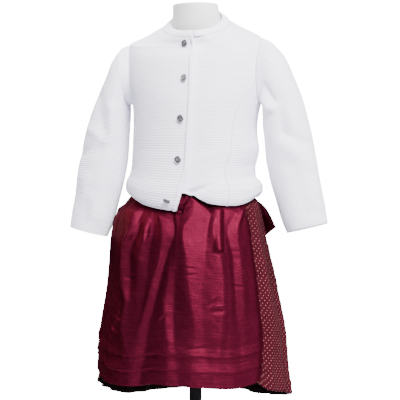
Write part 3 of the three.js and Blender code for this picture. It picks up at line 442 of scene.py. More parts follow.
give("Dot", maths(dots, "MAXIMUM", spot(nearest(0.0, 0.0)), spot(nearest(0.5, 0.5))))
give("Between", maths(dots, "MAXIMUM", spot(nearest(0.5, 0.0)), spot(nearest(0.0, 0.5))))

printed, tree, shader = surface("printed_cotton", Roughness=0.85, Specular_IOR_Level=0.04)
cloth = cloth_measure(tree)
tone = toned(tree, 38.0)
ground = blend(tree, tone["Tone"], (0.026, 0.0014, 0.0048, 1), (0.040, 0.0027, 0.0082, 1))
dotted = grouped(tree, dots, Cloth=cloth)
faint = maths(tree, "MULTIPLY", dotted["Between"], 0.4)
ground = blend(tree, faint, ground, (0.080, 0.010, 0.014, 1))
gold = maths(tree, "MULTIPLY", dotted["Dot"], ranged(tree, tone["Fine"], 0.45, 1.0))
coloured(tree, shader, gold, ground, (0.30, 0.13, 0.11, 1))
woven = grouped(tree, weave, Cloth=cloth, Threads=9000.0)
raised = maths(tree, "ADD", woven["Height"], maths(tree, "MULTIPLY", tone["Fine"], 2.0))
bumped(tree, shader, 0.3, 0.0004, raised)

BODICE_SIDE = table("height reach", (706, 90), (842, 90), (856, 83), (872, 71), (888, 63), (900, 60))
STRAP = table(
    "place inner_angle inner_height outer_angle outer_height",
    (0, 40, 900.3, 60, 900.3),
    (1, 41, 926, 64, 926),
    (2, 46, 951, 72, 950),
    (3, 62, 982, 82, 966),
    (4, 90, 993, 90, 972),
    (5, 118, 982, 98, 966),
    (6, 134, 951, 108, 950),
    (7, 139, 926, 116, 926),
    (8, 140, 900.3, 120, 900.3),
)


def normals(points, ring=False):
    """Outward normals of a grid whose rows rise and whose columns run from right to left."""
    if ring:
        across = np.roll(points, -1, 1) - np.roll(points, 1, 1)
    else:
        across = np.gradient(points, axis=1)
    out = np.cross(across, np.gradient(points, axis=0))
    return out / np.maximum(np.linalg.norm(out, axis=-1, keepdims=True), 1e-9)


def wall(name, outside, inside, spread, material, ring=False, inside_material=None):
    """A closed wall of cloth between two grids. The inside may have fewer rows, at even steps, and a
    material of its own."""
    rows, columns = outside.shape[:2]
    inner_rows = inside.shape[0]
    skip = (rows - 1) // (inner_rows - 1)
    if np.sum(normals(outside[::skip], ring) * (outside[::skip] - inside)) < 0:
        outside, inside, spread = outside[:, ::-1], inside[:, ::-1], spread[:, ::-1]
    outer = np.arange(rows * columns).reshape(rows, columns)
    inner = np.arange(inner_rows * columns).reshape(inner_rows, columns) + rows * columns
    place = np.arange(spread.shape[0] * spread.shape[1]).reshape(spread.shape[:2])
    if ring:
        outer = np.concatenate([outer, outer[:, :1]], 1)
        inner = np.concatenate([inner, inner[:, :1]], 1)
    inner_place = place[::skip]

    def faces(o, i):
        blocks = [
            quads(o[:-1, :-1], o[:-1, 1:], o[1:, 1:], o[1:, :-1]),
            quads(i[:-1, :-1], i[1:, :-1], i[1:, 1:], i[:-1, 1:]),
            quads(o[0, :-1], i[0, :-1], i[0, 1:], o[0, 1:]),
            quads(o[-1, :-1], o[-1, 1:], i[-1, 1:], i[-1, :-1]),
        ]
        if not ring:
            runs = np.arange(inner_rows - 1)[:, None] * skip
            up, down = runs + np.arange(skip + 1), runs + np.arange(skip, 0, -1)
            low, high = np.arange(inner_rows - 1), np.arange(1, inner_rows)
            blocks.append(np.column_stack([o[up, 0], i[high, 0], i[low, 0]]))
            blocks.append(np.column_stack([o[runs[:, 0], -1], i[low, -1], i[high, -1], o[down, -1]]))
        return blocks

    points = np.concatenate([outside.reshape(-1, 3), inside.reshape(-1, 3)])
    blocks = faces(outer, inner)
    corners = np.concatenate([block.ravel() for block in faces(place, inner_place)])
    sharp = sum(len(block) for block in blocks[2:])
    made = piece(name, points, blocks, spread.reshape(-1, 2)[corners], material, sharp)
    if inside_material:
        made.data.materials.append(inside_material)
        for polygon in made.data.polygons[len(blocks[0]) : len(blocks[0]) + len(blocks[1])]:
            polygon.material_index = 1
    return made


def layered(name, outside, thickness, material, ring=False, skip=1, from_column=0, inside_material=None):
    """A piece of cloth from the grid of its outside, measured across from one of its columns."""
    inside = (outside - thickness * normals(outside, ring))[::skip]
    spread = measured(outside, ring)
    spread[..., 0] -= spread[:, from_column][:, None, 0]
    return wall(name, outside, inside, spread, material, ring, inside_material)


heights = np.linspace(706, 900, 61)
reach = curve(BODICE_SIDE, "reach", heights)[:, None] - 0.1
share = np.linspace(-1, 1, 61)
for name, centre in [("bodice_front", 0), ("bodice_back", 180)]:
    outside = form_point(centre + reach * share, heights[:, None])
    outside += BODICE_LIFT * normals(outside)
    panel = layered(name + "_panel", outside, WOVEN, printed)
    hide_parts(name)

for name, side in [("right", -1), ("left", 1)]:
    along = np.linspace(0, 8, 81)[:, None]
    over = np.linspace(0, 1, 13)[::side]
    angle = side * mix(curve(STRAP, "inner_angle", along), curve(STRAP, "outer_angle", along), over)
    height = mix(curve(STRAP, "inner_height", along), curve(STRAP, "outer_height", along), over)
    outside = form_point(angle, height)
    outside += BODICE_LIFT * normals(outside)
    strap = layered(f"bodice_{name}_strap", outside, WOVEN, printed)
    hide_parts(f"bodice_strap_{name}")

# ---------------------------------------------------------------- skirt
# A full skirt of the printed cotton, gathered into the waist seam. Its front lies under the apron, its
# sides and back hang in folds, and its inside is a near-black painted shade. Two tucks run above its hem
# and the apron's.
SKIRT_TOP = 705.7
TUCKS = (54, 27)
SKIRT_RINGS = table(
    "height right left front back mid",
    (306, 191, 171, 156, 154, 0),
    (338, 184, 168, 155, 152, 0),
    (373, 176, 163, 152, 148, 0),
    (440, 171, 158, 147, 142, 0),
    (500, 163, 146, 141, 135, 0),
    (551, 158, 136, 134, 127, 0),
    (600, 156, 127, 125, 118, 0),
    (632, 152, 123, 115, 110, 0),
    (654, 148, 120, 105, 102, 0),
    (665, 145, 118, 99, 97, 0),
    (676, 140, 115, 96, 92, 0),
    (684, 131, 112, 95, 89, 0),
    (691, 117, 109, 94, 86.5, 0),
    (700, 109, 106, 92.5, 84, 0),
    (SKIRT_TOP, 106, 105.5, 91.5, 83.5, 0),
)
SKIRT_HEM = table(
    "angle height",
    (-180, 327), (-155, 314), (-128, 308), (-108, 322), (-88, 342), (-78, 360), (-62, 366), (-30, 362),
    (20, 362), (50, 362), (60, 352), (66, 339), (92, 330), (118, 315), (145, 310), (164, 317),
    (180, 327),
)
# One row for each fold: its angle at the waist and at the hem, half its width, and its two depths.
SKIRT_FOLDS = [
    (72, 86, 9, 1, 3.5),
    (88, 68, 7, 1.5, 2),
    (-84, -88, 8, 1, 5),
    (-72, -74, 6, 0.6, 1.5),
]
for i in range(13):
    even = mix(104, 256, i / 12)
    SKIRT_FOLDS.append(
        (
            even + 1.6 * math.sin(2.4 * i),
            even + 3 * math.sin(1.7 * i + 1),
            6.6 + 0.9 * math.sin(3.1 * i),
            1.6 + 0.6 * math.cos(2.2 * i),
            10 + 2.6 * math.sin(2.9 * i + 0.5),
        )
    )

# The deep fold beside the apron's left edge.
SIDE_GAP = dict(
    line=table("height angle", (340, 60), (420, 65), (500, 68), (600, 71), (680, 66)),
    depth=12,
    half_width=8,
)

# The cardigan's own rings and hems: the skirt's layers are held in under them.
HEM_LEVEL, HEM_FROM, NECK_LEVEL = 690, 740, 1003
CARDIGAN_RINGS = table(
    "level right left front back mid",
    (HEM_LEVEL, 124.5, 118, 106, 101, 0),
    (694, 128, 122, 109, 102, 0),
    (700, 130.5, 125.5, 110.5, 102, 0),
    (708, 130.5, 125.5, 110.5, 101, 0),
    (716, 129, 121, 108, 99, 0),
    (726, 124, 112.5, 104, 95, 0),
    (740, 120, 112, 101, 90, 0),
    (756, 119, 116, 99, 88, 0),
    (774, 118, 119, 98, 87, 1),
    (792, 117.5, 116.5, 98, 86, 1),
    (812, 117, 115, 98, 86, 2),
    (834, 117, 117, 98, 86, 3),
    (856, 119, 121, 97, 86, 4),
    (880, 124, 125, 94, 86, 6),
    (911, 129, 128, 88, 86, 9),
    (945, 130, 127, 79, 81, 12),
    (975, 127, 121, 67, 70, 14),
    (983, 108, 108, 64, 62, 14),
    (990, 91, 90, 61, 57, 12),
    (996.5, 76, 76, 59, 53, 9),
    (NECK_LEVEL, 62, 64, 56, 50, 6),
)
HEM_RIGHT_FRONT = table(
    "angle height",
    (-90, 690), (-78, 690.5), (-65, 688), (-52, 681), (-40, 672), (-29, 666.5), (-19, 663),
    (-10, 660.5), (8, 661),
)
HEM_LEFT_FRONT = table(
    "angle height",
    (-20, 700), (-5, 694), (8, 690), (17, 678), (26, 672), (36, 669.5), (48, 669), (57, 671),
    (66, 675.5), (76, 682), (90, 688),
)
HEM_BACK = table("angle height", (90, 688), (125, 683), (180, 676), (235, 684), (270, 690))
CORNER_FOLD = dict(from_angle=3, to_angle=29, from_height=692, to_height=709, half_width=8, depth=8)


def ridge(distance, half_width):
    """A ridge's height across it: 1 on its line, falling to 0 at its half width."""
    return 0.5 + 0.5 * np.cos(np.pi * np.clip(distance / half_width, -1, 1))


def wrapped(angle):
    """An angle brought to between -180 and 180 degrees."""
    return (angle + 180) % 360 - 180


def cardigan_hem(angle):
    """The height of the cardigan's lower edge."""
    turned_to = wrapped(angle)
    left = curve(HEM_LEFT_FRONT, "height", turned_to)
    front = mix(curve(HEM_RIGHT_FRONT, "height", turned_to), left, smooth(-1, 8, turned_to))
    behind = curve(HEM_BACK, "height", np.where(turned_to < 0, turned_to + 360, turned_to))
    return np.where(np.abs(turned_to) > 90, behind, front)


def level_near(hem, height):
    """The level that a height of the cardigan has, near its hem."""
    low = HEM_LEVEL + (height - hem) * (HEM_FROM - HEM_LEVEL) / (HEM_FROM - hem)
    return np.where(height >= HEM_FROM, height, low)


def tucked_in(point, angle, margin, spring=2.0):
    """Holds a layer of the skirt in under the cardigan's hem, with a margin inside the knit. Below the
    hem it springs out at a slope."""
    angle = np.broadcast_to(wrapped(angle), point.shape[:-1])
    hem = cardigan_hem(angle)
    level = level_near(hem, np.maximum(hem, point[..., 2]))
    knit = ring_point(CARDIGAN_RINGS, angle, level)
    release = mix(spring, 1.1, smooth(95, 130, np.abs(angle))) * np.maximum(0, hem - 1 - point[..., 2])
    corner = CORNER_FOLD["depth"] * smooth(3, 9, angle) * (1 - smooth(24, 34, angle))
    most = np.hypot(knit[..., 0], knit[..., 1]) - 2.5 - margin - corner + release
    reach = np.hypot(point[..., 0], point[..., 1])
    near = (point[..., 2] <= HEM_FROM) & (point[..., 2] >= hem - 60)
    factor = np.where(near & (reach > most), most / reach, 1)
    held = point.copy()
    held[..., :2] *= factor[..., None]
    return held


def skirt_fold_depth(angle, height):
    """How far the skirt's gathers stand out at a place."""
    down = np.clip((SKIRT_TOP - height) / (SKIRT_TOP - 330), 0, 1.1)
    spread = smooth(0.02, 0.5, down)
    total = 0
    for waist, hem, half_width, waist_depth, hem_depth in SKIRT_FOLDS:
        line = mix(waist, hem, down)
        total = total + mix(waist_depth, hem_depth, spread) * ridge(wrapped(angle - line), half_width)
    return total


def skirt_hem(angle):
    return curve(SKIRT_HEM, "height", wrapped(angle))


def skirt_point(angle, height):
    """The skirt's outside. It falls into a deep fold beside the apron's left edge."""
    turned_to = wrapped(angle)
    folds = skirt_fold_depth(angle, height)
    aside = turned_to - curve(SIDE_GAP["line"], "angle", height)
    gap = SIDE_GAP["depth"] * ridge(aside, SIDE_GAP["half_width"])
    gap = gap * smooth(0, 40, cardigan_hem(angle) - height)
    under_apron = (1 - smooth(55, 63, turned_to)) * smooth(-88, -78, turned_to)
    spring = mix(mix(0.9, 2.2, np.clip(folds / 3, 0, 1)), 0.5, under_apron)
    point = ring_point(SKIRT_RINGS, angle, height, folds - gap)
    return tucked_in(point, angle, 7.6, spring)


def crumple(u, v, seed, wavelengths, sharpness=1.0):
    """Uneven small folds as a height from -1 to 1, the same on every run."""
    rng = np.random.default_rng(seed)
    total = 0
    for length in wavelengths:
        heading, start = rng.uniform(0, math.pi), rng.uniform(0, 2 * math.pi)
        bend, sway = rng.uniform(0.6, 1.6), rng.uniform(0, 2 * math.pi)
        along = u * math.cos(heading) + v * math.sin(heading)
        beside = -u * math.sin(heading) + v * math.cos(heading)
        wave = np.sin(2 * math.pi * along / length + start + bend * np.sin(beside / length + sway))
        total = total + np.sign(wave) * np.abs(wave) ** sharpness
    return total / len(wavelengths)


# The skirt's inside is near-black all over: painted shade that stands in for the dark under the skirt.
painted_shade_inside, tree, shader = surface("painted_shade_inside", Roughness=0.9, Specular_IOR_Level=0.02)
tone = toned(tree, 40.0)
coloured(tree, shader, tone["Tone"], (0.0016, 0.0007, 0.0007, 1), (0.0040, 0.0020, 0.0020, 1))
woven = grouped(tree, weave, Cloth=cloth_measure(tree), Threads=9000.0)
bumped(tree, shader, 0.2, 0.0003, woven["Height"])


def skirt_panel(name, start, end, columns, seam_column):
    """One width of the skirt between its side seams. Its print is measured from one of them."""
    angle = np.linspace(start, end, columns)[None, :]
    share = np.linspace(1, 0, 169)[:, None]
    height = mix(SKIRT_TOP, skirt_hem(angle), share)
    outside = skirt_point(angle, height)
    out = normals(outside)
    above = height - skirt_hem(angle)
    free = smooth(0, 60, cardigan_hem(angle) - height)
    lift = 1.1 * free * crumple(outside[..., 0] - outside[..., 1], height, 5, [34, 21, 47, 15, 27])
    for tuck in TUCKS:
        lift = lift - 1.3 * ridge(above - tuck, 2.6) * smooth(0, 0.5, np.sin(angle / 7) + 0.6)
    outside = outside + out * lift[..., None]
    # The inside faces take the near-black painted shade.
    panel = layered(name, outside, WOVEN, printed, skip=4, from_column=seam_column, inside_material=painted_shade_inside)
    return panel


SIDE_SEAM = 0.02
skirt_front = skirt_panel("skirt_front_panel", -90 + SIDE_SEAM, 90 - SIDE_SEAM, 170, -1)
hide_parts("skirt_front")
skirt_back = skirt_panel("skirt_back_panel", 90 + SIDE_SEAM, 270 - SIDE_SEAM, 240, 0)
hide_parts("skirt_back")

# ---------------------------------------------------------------- apron
# A half-round apron of burgundy taffeta, gathered tightly into its waistband. It falls in sharp folds
# and creases, and two narrow tucks run above its hem.
APRON_TOP = 687.2
APRON_LIFT = 3.2
APRON_EDGES = table(
    "height right left",
    (350, -86, 56),
    (372, -86, 59.5),
    (422, -86, 61),
    (502, -82, 64),
    (567, -79, 66),
    (607, -78, 67),
    (653, -77, 65),
    (APRON_TOP, -75, 60),
)
APRON_HEM = table(
    "angle height",
    (-86, 376), (-72, 369), (-58, 358), (-45, 351), (-25, 350), (-12, 356), (-2, 354), (16, 351),
    (34, 348), (46, 353), (60, 362),
)
# The creases of its folds, from its right edge to its left one: their angles, and how far each stands
# out. The cloth runs nearly flat from one crease to the next.
CREASE_ANGLES = table(
    "height a b c d e f g h i j k l m n o p q r",
    (371, -88, -60, -43, -35, -30, -29, -28, -27, -21.5, -4, 2, 10, 19, 24, 33, 41, 43.5, 46),
    (416, -88, -60, -39, -31, -28, -27, -26, -25, -18.5, -4, 0, 11, 18, 26, 31, 41, 44, 47),
    (455, -88, -60, -39, -35, -30, -27, -24.5, -22.5, -17.5, -6, -1.5, 12, 17, 28, 33.5, 39.5, 44.5, 50),
    (497, -86, -60, -40, -34, -30.5, -27.5, -22, -19, -14.5, -7.5, -2, 10, 16.5, 30, 35, 40, 46, 52),
    (539, -84, -60, -44, -40, -33, -27.5, -20.5, -16, -11.5, -5.5, -1.5, 8, 17.5, 31, 36.5, 41, 47, 53),
    (582, -82, -60, -45, -41, -35, -27, -20, -12, -8, -4, -1.5, 6, 20, 30, 36, 42, 48, 55),
    (624, -80, -58, -43, -37.5, -31, -24, -18, -11, -3, -1.8, -0.5, 3, 21.5, 26, 33, 39, 47, 53),
    (659, -78, -56, -47, -37, -30, -25, -19.5, -17, -7, -3.5, -1.5, 10, 24, 28, 36, 47, 54, 58),
)
CREASE_DEPTHS = table(
    "height a b c d e f g h i j k l m n o p q r",
    (371, 3, 2, 6, 11.5, 10.5, 10, 9.5, 8.5, -0.5, 8, 5, 10, 9.5, 12, 9, 5, 4, 3.5),
    (416, 3, 2, 4, 13, 11, 10.3, 9.5, 8.5, 0, 7, 5.5, 10, 8.5, 13, 9.5, 4, 4.5, 4.5),
    (455, 2, 2, 5, 13.5, 10, 8.8, 8, 7.5, 0.5, 6, 0, 11, 8.5, 14.5, 10, 5.5, 6, 5),
    (497, 1, 1, 5, 13, 8, 6.5, 3.5, 6, -0.5, 6, 0, 11.5, 8, 15.5, 11, 5.5, 7, 5),
    (539, 0.5, 0, 4, 13.5, 4, 6.5, 2, 5, -1, 5, 3, 11.5, 8, 15.5, 10, 5, 7, 5),
    (582, 0.5, 0, 5, 13.5, 3, 8, 2, 5, -1.5, 3, 5.5, 11.5, 7, 14, 9, 3, 6, 4),
    (624, 0.5, 0.5, 6, 10, 0, 8, 3, 8, 2, 5, 6, 11, 4, 10.5, 4, 1, 6, 3),
    (659, 0.5, 2, 6, 8, -1, 4, 0, 7, 2, 7, 7, 12, 4, 9, 0, 0, 5, 0.5),
    (APRON_TOP, 0.5, 3, 6, 4, 0, 6, 0, 7, 1, 6, 2, 7, 1, 7, 1, 6, 1, 4),
)
# Its left edge turns in towards the skirt. The pouch is a bag of loose cloth that ends in a short lip.
EDGE_TURN = dict(wide=7.5, depth=7)
POUCH = dict(waist=33, lip=30, lip_height=593, lip_drop=7, depth=8, waist_depth=3, half_width=5)
TUCK_WIDTH, TUCK_LIFT = 16, 2.8


def apron_hem(angle):
    return curve(APRON_HEM, "height", angle)


def apron_fold_depth(angle, height):
    """How far the apron stands out from its lowest lie: its folds, its pouch and its tucks."""
    angle, height = np.broadcast_arrays(angle, height)
    names = list(CREASE_ANGLES)[1:]
    lines = [curve(CREASE_ANGLES, name, height) for name in names]
    depths = [curve(CREASE_DEPTHS, name, height) for name in names]
    total = depths[0]
    for i in range(len(names) - 1):
        share = np.clip((angle - lines[i]) / (lines[i + 1] - lines[i]), 0, 1)
        total = total + (depths[i + 1] - depths[i]) * mix(share, smooth(0, 1, share), 0.5)
    edge = curve(APRON_EDGES, "left", height)
    turning = smooth(edge - EDGE_TURN["wide"], edge, angle) * smooth(APRON_TOP, 655, height)
    total = total - EDGE_TURN["depth"] * turning
    down = (APRON_TOP - height) / (APRON_TOP - POUCH["lip_height"])
    bag = mix(POUCH["waist_depth"], POUCH["depth"], np.clip(down, 0, 1))
    lip = smooth(POUCH["lip_height"] - POUCH["lip_drop"], POUCH["lip_height"], height)
    aside = angle - mix(POUCH["waist"], POUCH["lip"], down)
    total = total + bag * lip * ridge(aside, POUCH["half_width"])
    for above in TUCKS:
        up = height - apron_hem(angle) - above
        rise = np.where(up < 0, up + 1, 1 - up / TUCK_WIDTH)
        total = total + TUCK_LIFT * np.where((up > -1) & (up < TUCK_WIDTH), rise, 0)
    return total


def apron_point(angle, height):
    """The apron's outside, over the skirt's gathers."""
    folds = apron_fold_depth(angle, height)
    out = APRON_LIFT + skirt_fold_depth(angle, height) + folds
    spring = mix(0.8, 2.4, smooth(2, 9, folds))
    return tucked_in(ring_point(SKIRT_RINGS, angle, height, out), angle, 2.2, spring)


taffeta, tree, shader = surface(
    "burgundy_taffeta",
    Metallic=0.8,
    Roughness=0.45,
    Specular_IOR_Level=0.05,
    Specular_Tint=(0.45, 0.12, 0.27, 1),
)
tone = toned(tree, 16.0)
woven = grouped(tree, weave, Cloth=cloth_measure(tree), Threads=7800.0)
ground = blend(tree, tone["Tone"], (0.046, 0.0028, 0.0096, 1), (0.059, 0.0040, 0.0128, 1))
streak = node(tree, "MapRange", Value=woven["Slub"], From_Min=0.50, From_Max=0.72, To_Max=0.4).outputs[0]
coloured(tree, shader, streak, ground, (0.094, 0.0080, 0.022, 1))
place = node(tree, "TexCoord").outputs["Object"]
creases = node(tree, "TexNoise", Vector=place, Scale=85.0, Detail=4.0, Distortion=0.6).outputs[0]
height = maths(tree, "MULTIPLY", woven["Slub"], 1.7)
height = maths(tree, "ADD", height, maths(tree, "MULTIPLY", creases, 0.7))
height = maths(tree, "ADD", height, maths(tree, "MULTIPLY", woven["Height"], 0.12))
bumped(tree, shader, 0.5, 0.0008, height)

# The apron's distance from the middle of the skirt, on average and at its lower folds.
MEAN_REACH, FOLD_REACH = 130, 145
# Short creases pressed into the cloth: where each lies, its half length and half width, its slope
# upwards to the left, and its depth.
SHORT_CREASES = [
    (-42, 471, 11, 3.2, -34, 2.6),
    (-46, 452, 10, 3.6, -40, 2.8),
    (-50, 440, 9, 4, -60, 2.2),
    (-37, 610, 9, 3, 48, 2.8),
    (-33, 540, 8, 2.4, -10, 1.8),
    (-22, 623, 12, 2.6, 86, 2.6),
    (2, 660, 10, 3, 32, 2.4),
    (27, 485, 9, 4, 12, 3.2),
    (24, 500, 8, 3, 40, 1.6),
    (43, 527, 11, 2.2, -12, 1.8),
    (-8, 470, 9, 3, 40, 1.8),
    (8, 548, 13, 2, 4, 0.9),
    (9, 560, 10, 1.8, -6, 0.8),
    (13, 420, 12, 2.2, 8, 1.2),
    (-30, 428, 13, 2, 6, 1.2),
    (-62, 470, 14, 4, 70, 2.2),
    (-68, 430, 12, 5, 55, 2.4),
    (38, 404, 12, 3, -20, 1.6),
    (-15, 404, 14, 3.4, 8, 2.2),
]

share = np.linspace(0, 1, 241)[None, :]
rows = np.linspace(1, 0, 205)[:, None]
rough = mix(APRON_TOP, 354, rows)
angle = mix(curve(APRON_EDGES, "right", rough), curve(APRON_EDGES, "left", rough), share)
height = mix(APRON_TOP, apron_hem(angle), rows)
outside = apron_point(angle, height)
out = normals(outside)
free = smooth(0, 50, cardigan_hem(angle) - height)
around = np.radians(angle) * MEAN_REACH
broad = 0.7 * crumple(around, height, 11, [62, 38, 45, 80], 0.9)
small = 0.22 * crumple(around, height, 12, [15, 22, 18, 12], 0.8)
lift = free * (broad + small)
for at, level, half_length, half_width, slope, depth in SHORT_CREASES:
    right, up = np.radians(angle - at) * FOLD_REACH, height - level
    c, t = math.cos(math.radians(slope)), math.sin(math.radians(slope))
    along, beside = (right * c + up * t) / half_length, (up * c - right * t) / half_width
    pressed = np.exp(-(beside**2)) - 0.45 * np.exp(-((beside - 1.7) ** 2))
    lift = lift - depth * np.exp(-(along**2)) * pressed
outside = outside + out * lift[..., None]
apron = layered("apron_cloth", outside, WOVEN, taffeta, skip=2)
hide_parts("apron_panel")

# ---------------------------------------------------------------- waistband and ties
# A straight band of the same taffeta, sewn over the apron's gathers, that runs on as two ties to the
# back. The cardigan's hem hides it in front.
TIE_UNDER, BAND_LIFT, BAND_MIDDLE, HALF_BAND = 2.6, 3.2, 696.65, 8.35
KNOT = dict(y=111.5, z=664, wide=11, deep=8.5, tall=12)


def waist_point(angle, height, lift):
    """A point of the waist under the cardigan, outside the skirt's gathers."""
    rise = 3.3 * smooth(158, 175, np.abs(angle))
    point = ring_point(SKIRT_RINGS, angle, height, BAND_LIFT + lift + rise)
    return tucked_in(point, angle, TIE_UNDER + WOVEN - lift)


def band(name, start, end, columns, node_name):
    """A band of doubled taffeta round the waist that sinks to the knot behind."""
    angle = np.linspace(start, end, columns)[None, :]
    middle = mix(BAND_MIDDLE, KNOT["z"] + 3, smooth(122, 174, np.abs(angle)))
    height = middle + np.linspace(-HALF_BAND, HALF_BAND, 13)[:, None]
    outside, inside = waist_point(angle, height, WOVEN), waist_point(angle, height, 0)
    made = wall(name, outside, inside, measured(outside), taffeta)
    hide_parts(node_name)


band("waistband", -75, 60, 140, "apron_waistband")
band("left_tie", 60.3, 176.1, 120, "apron_tie_left")
band("right_tie", -176.8, -75.3, 110, "apron_tie_right")

# ---------------------------------------------------------------- bow
# The ties are knotted behind into a bow of two wide loops, and their free ends hang over the skirt.
TAIL_TOP, TAIL_LENGTH = 653.5, 179.5
lat = np.linspace(-math.pi / 2, math.pi / 2, 42)[1:-1, None]
lon = np.linspace(0, 2 * math.pi, 72, endpoint=False)[None, :]
pleat = 1 + 0.05 * np.cos(5 * lon + 1.2 * np.sin(2 * lat)) * np.cos(lat)
rings = np.stack(
    np.broadcast_arrays(
        KNOT["wide"] * np.cos(lat) * np.sin(lon) * pleat,
        KNOT["y"] - KNOT["deep"] * np.cos(lat) * np.cos(lon) * pleat,
        KNOT["z"] + KNOT["tall"] * np.sin(lat),
    ),
    -1,
)
knot = lofted("bow_knot_wrap", rings, taffeta)
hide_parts("bow_knot")

# The middle of the left loop, from the knot to its tip, and the steps along each of its two leaves.
LOOP_LINE = np.array([(11.7, 115.6, 664), (46, 122, 673), (88, 114, 656), (116, 101, 616)], float)
LEAF = 48


def spline(points, at):
    """A point of a smooth line through points, by a share of it from 0 to 1."""
    line = np.concatenate([[2 * points[0] - points[1]], points, [2 * points[-1] - points[-2]]])
    place = np.asarray(at) * (len(points) - 1)
    i = np.minimum(place.astype(int), len(points) - 2)
    t = (place - i)[..., None]
    a, b, c, d = line[i], line[i + 1], line[i + 2], line[i + 3]
    bend, twist = 2 * a - 5 * b + 4 * c - d, 3 * b - a - 3 * c + d
    return 0.5 * (2 * b + (c - a) * t + bend * t**2 + twist * t**3)


def unit(vectors):
    """Vectors brought to a length of 1."""
    return vectors / np.linalg.norm(vectors, axis=-1, keepdims=True)


def bow_loop(name, node_name, side):
    """A ribbon that runs out along its line, turns at the tip and comes back."""
    share = np.concatenate([np.linspace(0, 1, LEAF + 1), np.linspace(1, 0, LEAF + 1)])
    leaf = np.concatenate([-np.ones(LEAF + 1), np.ones(LEAF + 1)])
    middle = spline(LOOP_LINE, share)
    ahead = spline(LOOP_LINE, np.minimum(share + 0.01, 1))
    tangent = unit(ahead - spline(LOOP_LINE, np.maximum(share - 0.01, 0)))
    away = unit(np.array([0.25, 1, 0]))
    widthways = unit(np.cross(away, tangent))
    half = mix(13, 21, smooth(0, 0.7, share))
    gape = 2.6 + 7 * np.sin(math.pi * np.minimum(1, share * 0.93) ** 0.8)
    across = np.linspace(-1, 1, 25)[:, None, None]
    ripple = 0.8 * np.sin(9 * across[..., 0] + 6 * share)
    ripple = ripple * smooth(0.05, 0.4, share) * (1 - smooth(0.8, 1, share))

    def layer(inset):
        off = leaf * (gape - inset) + ripple
        points = middle + across * half[:, None] * widthways + off[..., None] * away
        points = points - np.where(share == 1, inset, 0)[:, None] * tangent
        points[..., 0] *= side
        return points

    outside, inside = layer(0), layer(WOVEN)
    made = wall(name, outside, inside, measured(outside), taffeta)
    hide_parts(node_name)


bow_loop("left_bow_loop", "bow_loop_left", 1)
bow_loop("right_bow_loop", "bow_loop_right", -1)


def bow_tail(name, node_name, side):
    """A free end of the tie, cut at a slant, that hangs over the gathers."""
    share = np.linspace(1, 0, 73)[:, None]
    across = np.linspace(-1, 1, 33)[None, :]
    slant = np.maximum(0, share - 0.9) / 0.1 * 9 * -across * side
    height = TAIL_TOP - TAIL_LENGTH * share - slant
    half = mix(8, 20, smooth(0, 0.4, share))
    back = curve(SKIRT_RINGS, "back", height)
    centre = 180 - side * mix(6.2, 19, (TAIL_TOP - height) / TAIL_LENGTH)
    angle = centre + np.degrees(across * half / back)
    curl = 2.5 * across**2 * share + 0.9 * np.sin(5 * across + 3 * share) * smooth(0, 0.3, share)
    out = 13 * smooth(0, 0.4, share) + 4.6 + curl
    inside = ring_point(SKIRT_RINGS, angle, height, out)
    outside = ring_point(SKIRT_RINGS, angle, height, out + WOVEN)
    made = wall(name, outside, inside, measured(outside), taffeta)
    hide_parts(node_name)


bow_tail("left_bow_tail", "bow_tail_left", 1)
bow_tail("right_bow_tail", "bow_tail_right", -1)

# ---------------------------------------------------------------- cardigan body
# A white cotton cardigan knitted in horizontal ridges, in shaped panels linked edge to edge: two fronts,
# two side fronts and a back. The right front laps over the left one.
RIDGE, RIDGE_RISE, KNIT = 3.8, 0.75, 2.5
SEAM_REACH, SEAM_LIFT = 1.7, 0.4
RIDGES_LEVEL, RIDGES_BELOW = 800, 30
ARMHOLE = dict(height=916, half_height=59, half_angle=22)
PRINCESS_TOP = 893.43
HALF_SEAM = 0.1
FRONT_EDGE = table(
    "level angle",
    (690, -4.5), (707, -0.6), (717, 0.6), (726, 2.8), (740, 4.8), (780, 5.4), (805, 6.2), (828, 7),
    (860, 7.2), (900, 6.6), (940, 5.8), (NECK_LEVEL, 6.4),
)
PRINCESS_SEAM = table(
    "level right left",
    (690, 50, 40),
    (740, 50, 41),
    (790, 50, 45),
    (835, 52, 49),
    (866, 56, 54),
    (PRINCESS_TOP, 69, 69),
)

gauge = {"Cloth": None, "Wale": 0.0023, "Course": 0.0038}
stitches, given, give = group("knit_stitches", gauge, ["Height", "Groove"])
split = node(stitches, "SeparateXYZ", n0=given["Cloth"]).outputs
course = maths(stitches, "FRACT", maths(stitches, "DIVIDE", split[1], given["Course"]))
lean = maths(stitches, "ABSOLUTE", maths(stitches, "SUBTRACT", course, 0.5))
wale = maths(stitches, "ADD", maths(stitches, "DIVIDE", split[0], given["Wale"]), lean)
side = maths(stitches, "ABSOLUTE", maths(stitches, "SUBTRACT", maths(stitches, "FRACT", wale), 0.5))
give("Height", maths(stitches, "SINE", maths(stitches, "MULTIPLY", side, 2 * math.pi)))
# The second output is 1 where one course meets the next, and it places the painted shade in the grooves.
give("Groove", maths(stitches, "POWER", maths(stitches, "MULTIPLY", lean, 2), 3))

knit, tree, shader = surface("white_ridge_knit", Roughness=0.92, Sheen_Weight=0.3, Sheen_Roughness=0.55)
tone = toned(tree, 26.0)
stitched = grouped(tree, stitches, Cloth=cloth_measure(tree))
yarn = blend(tree, tone["Tone"], (0.80, 0.79, 0.91, 1), (0.93, 0.92, 0.99, 1))
# The grooves between the ridges are darkened towards lilac grey: painted shade.
groove_shade = maths(tree, "MULTIPLY", stitched["Groove"], 0.68)
coloured(tree, shader, groove_shade, yarn, (0.44, 0.42, 0.58, 1))
fuzz = maths(tree, "ADD", stitched["Height"], maths(tree, "MULTIPLY", tone["Fine"], 0.8))
bumped(tree, shader, 0.35, 0.0006, fuzz)


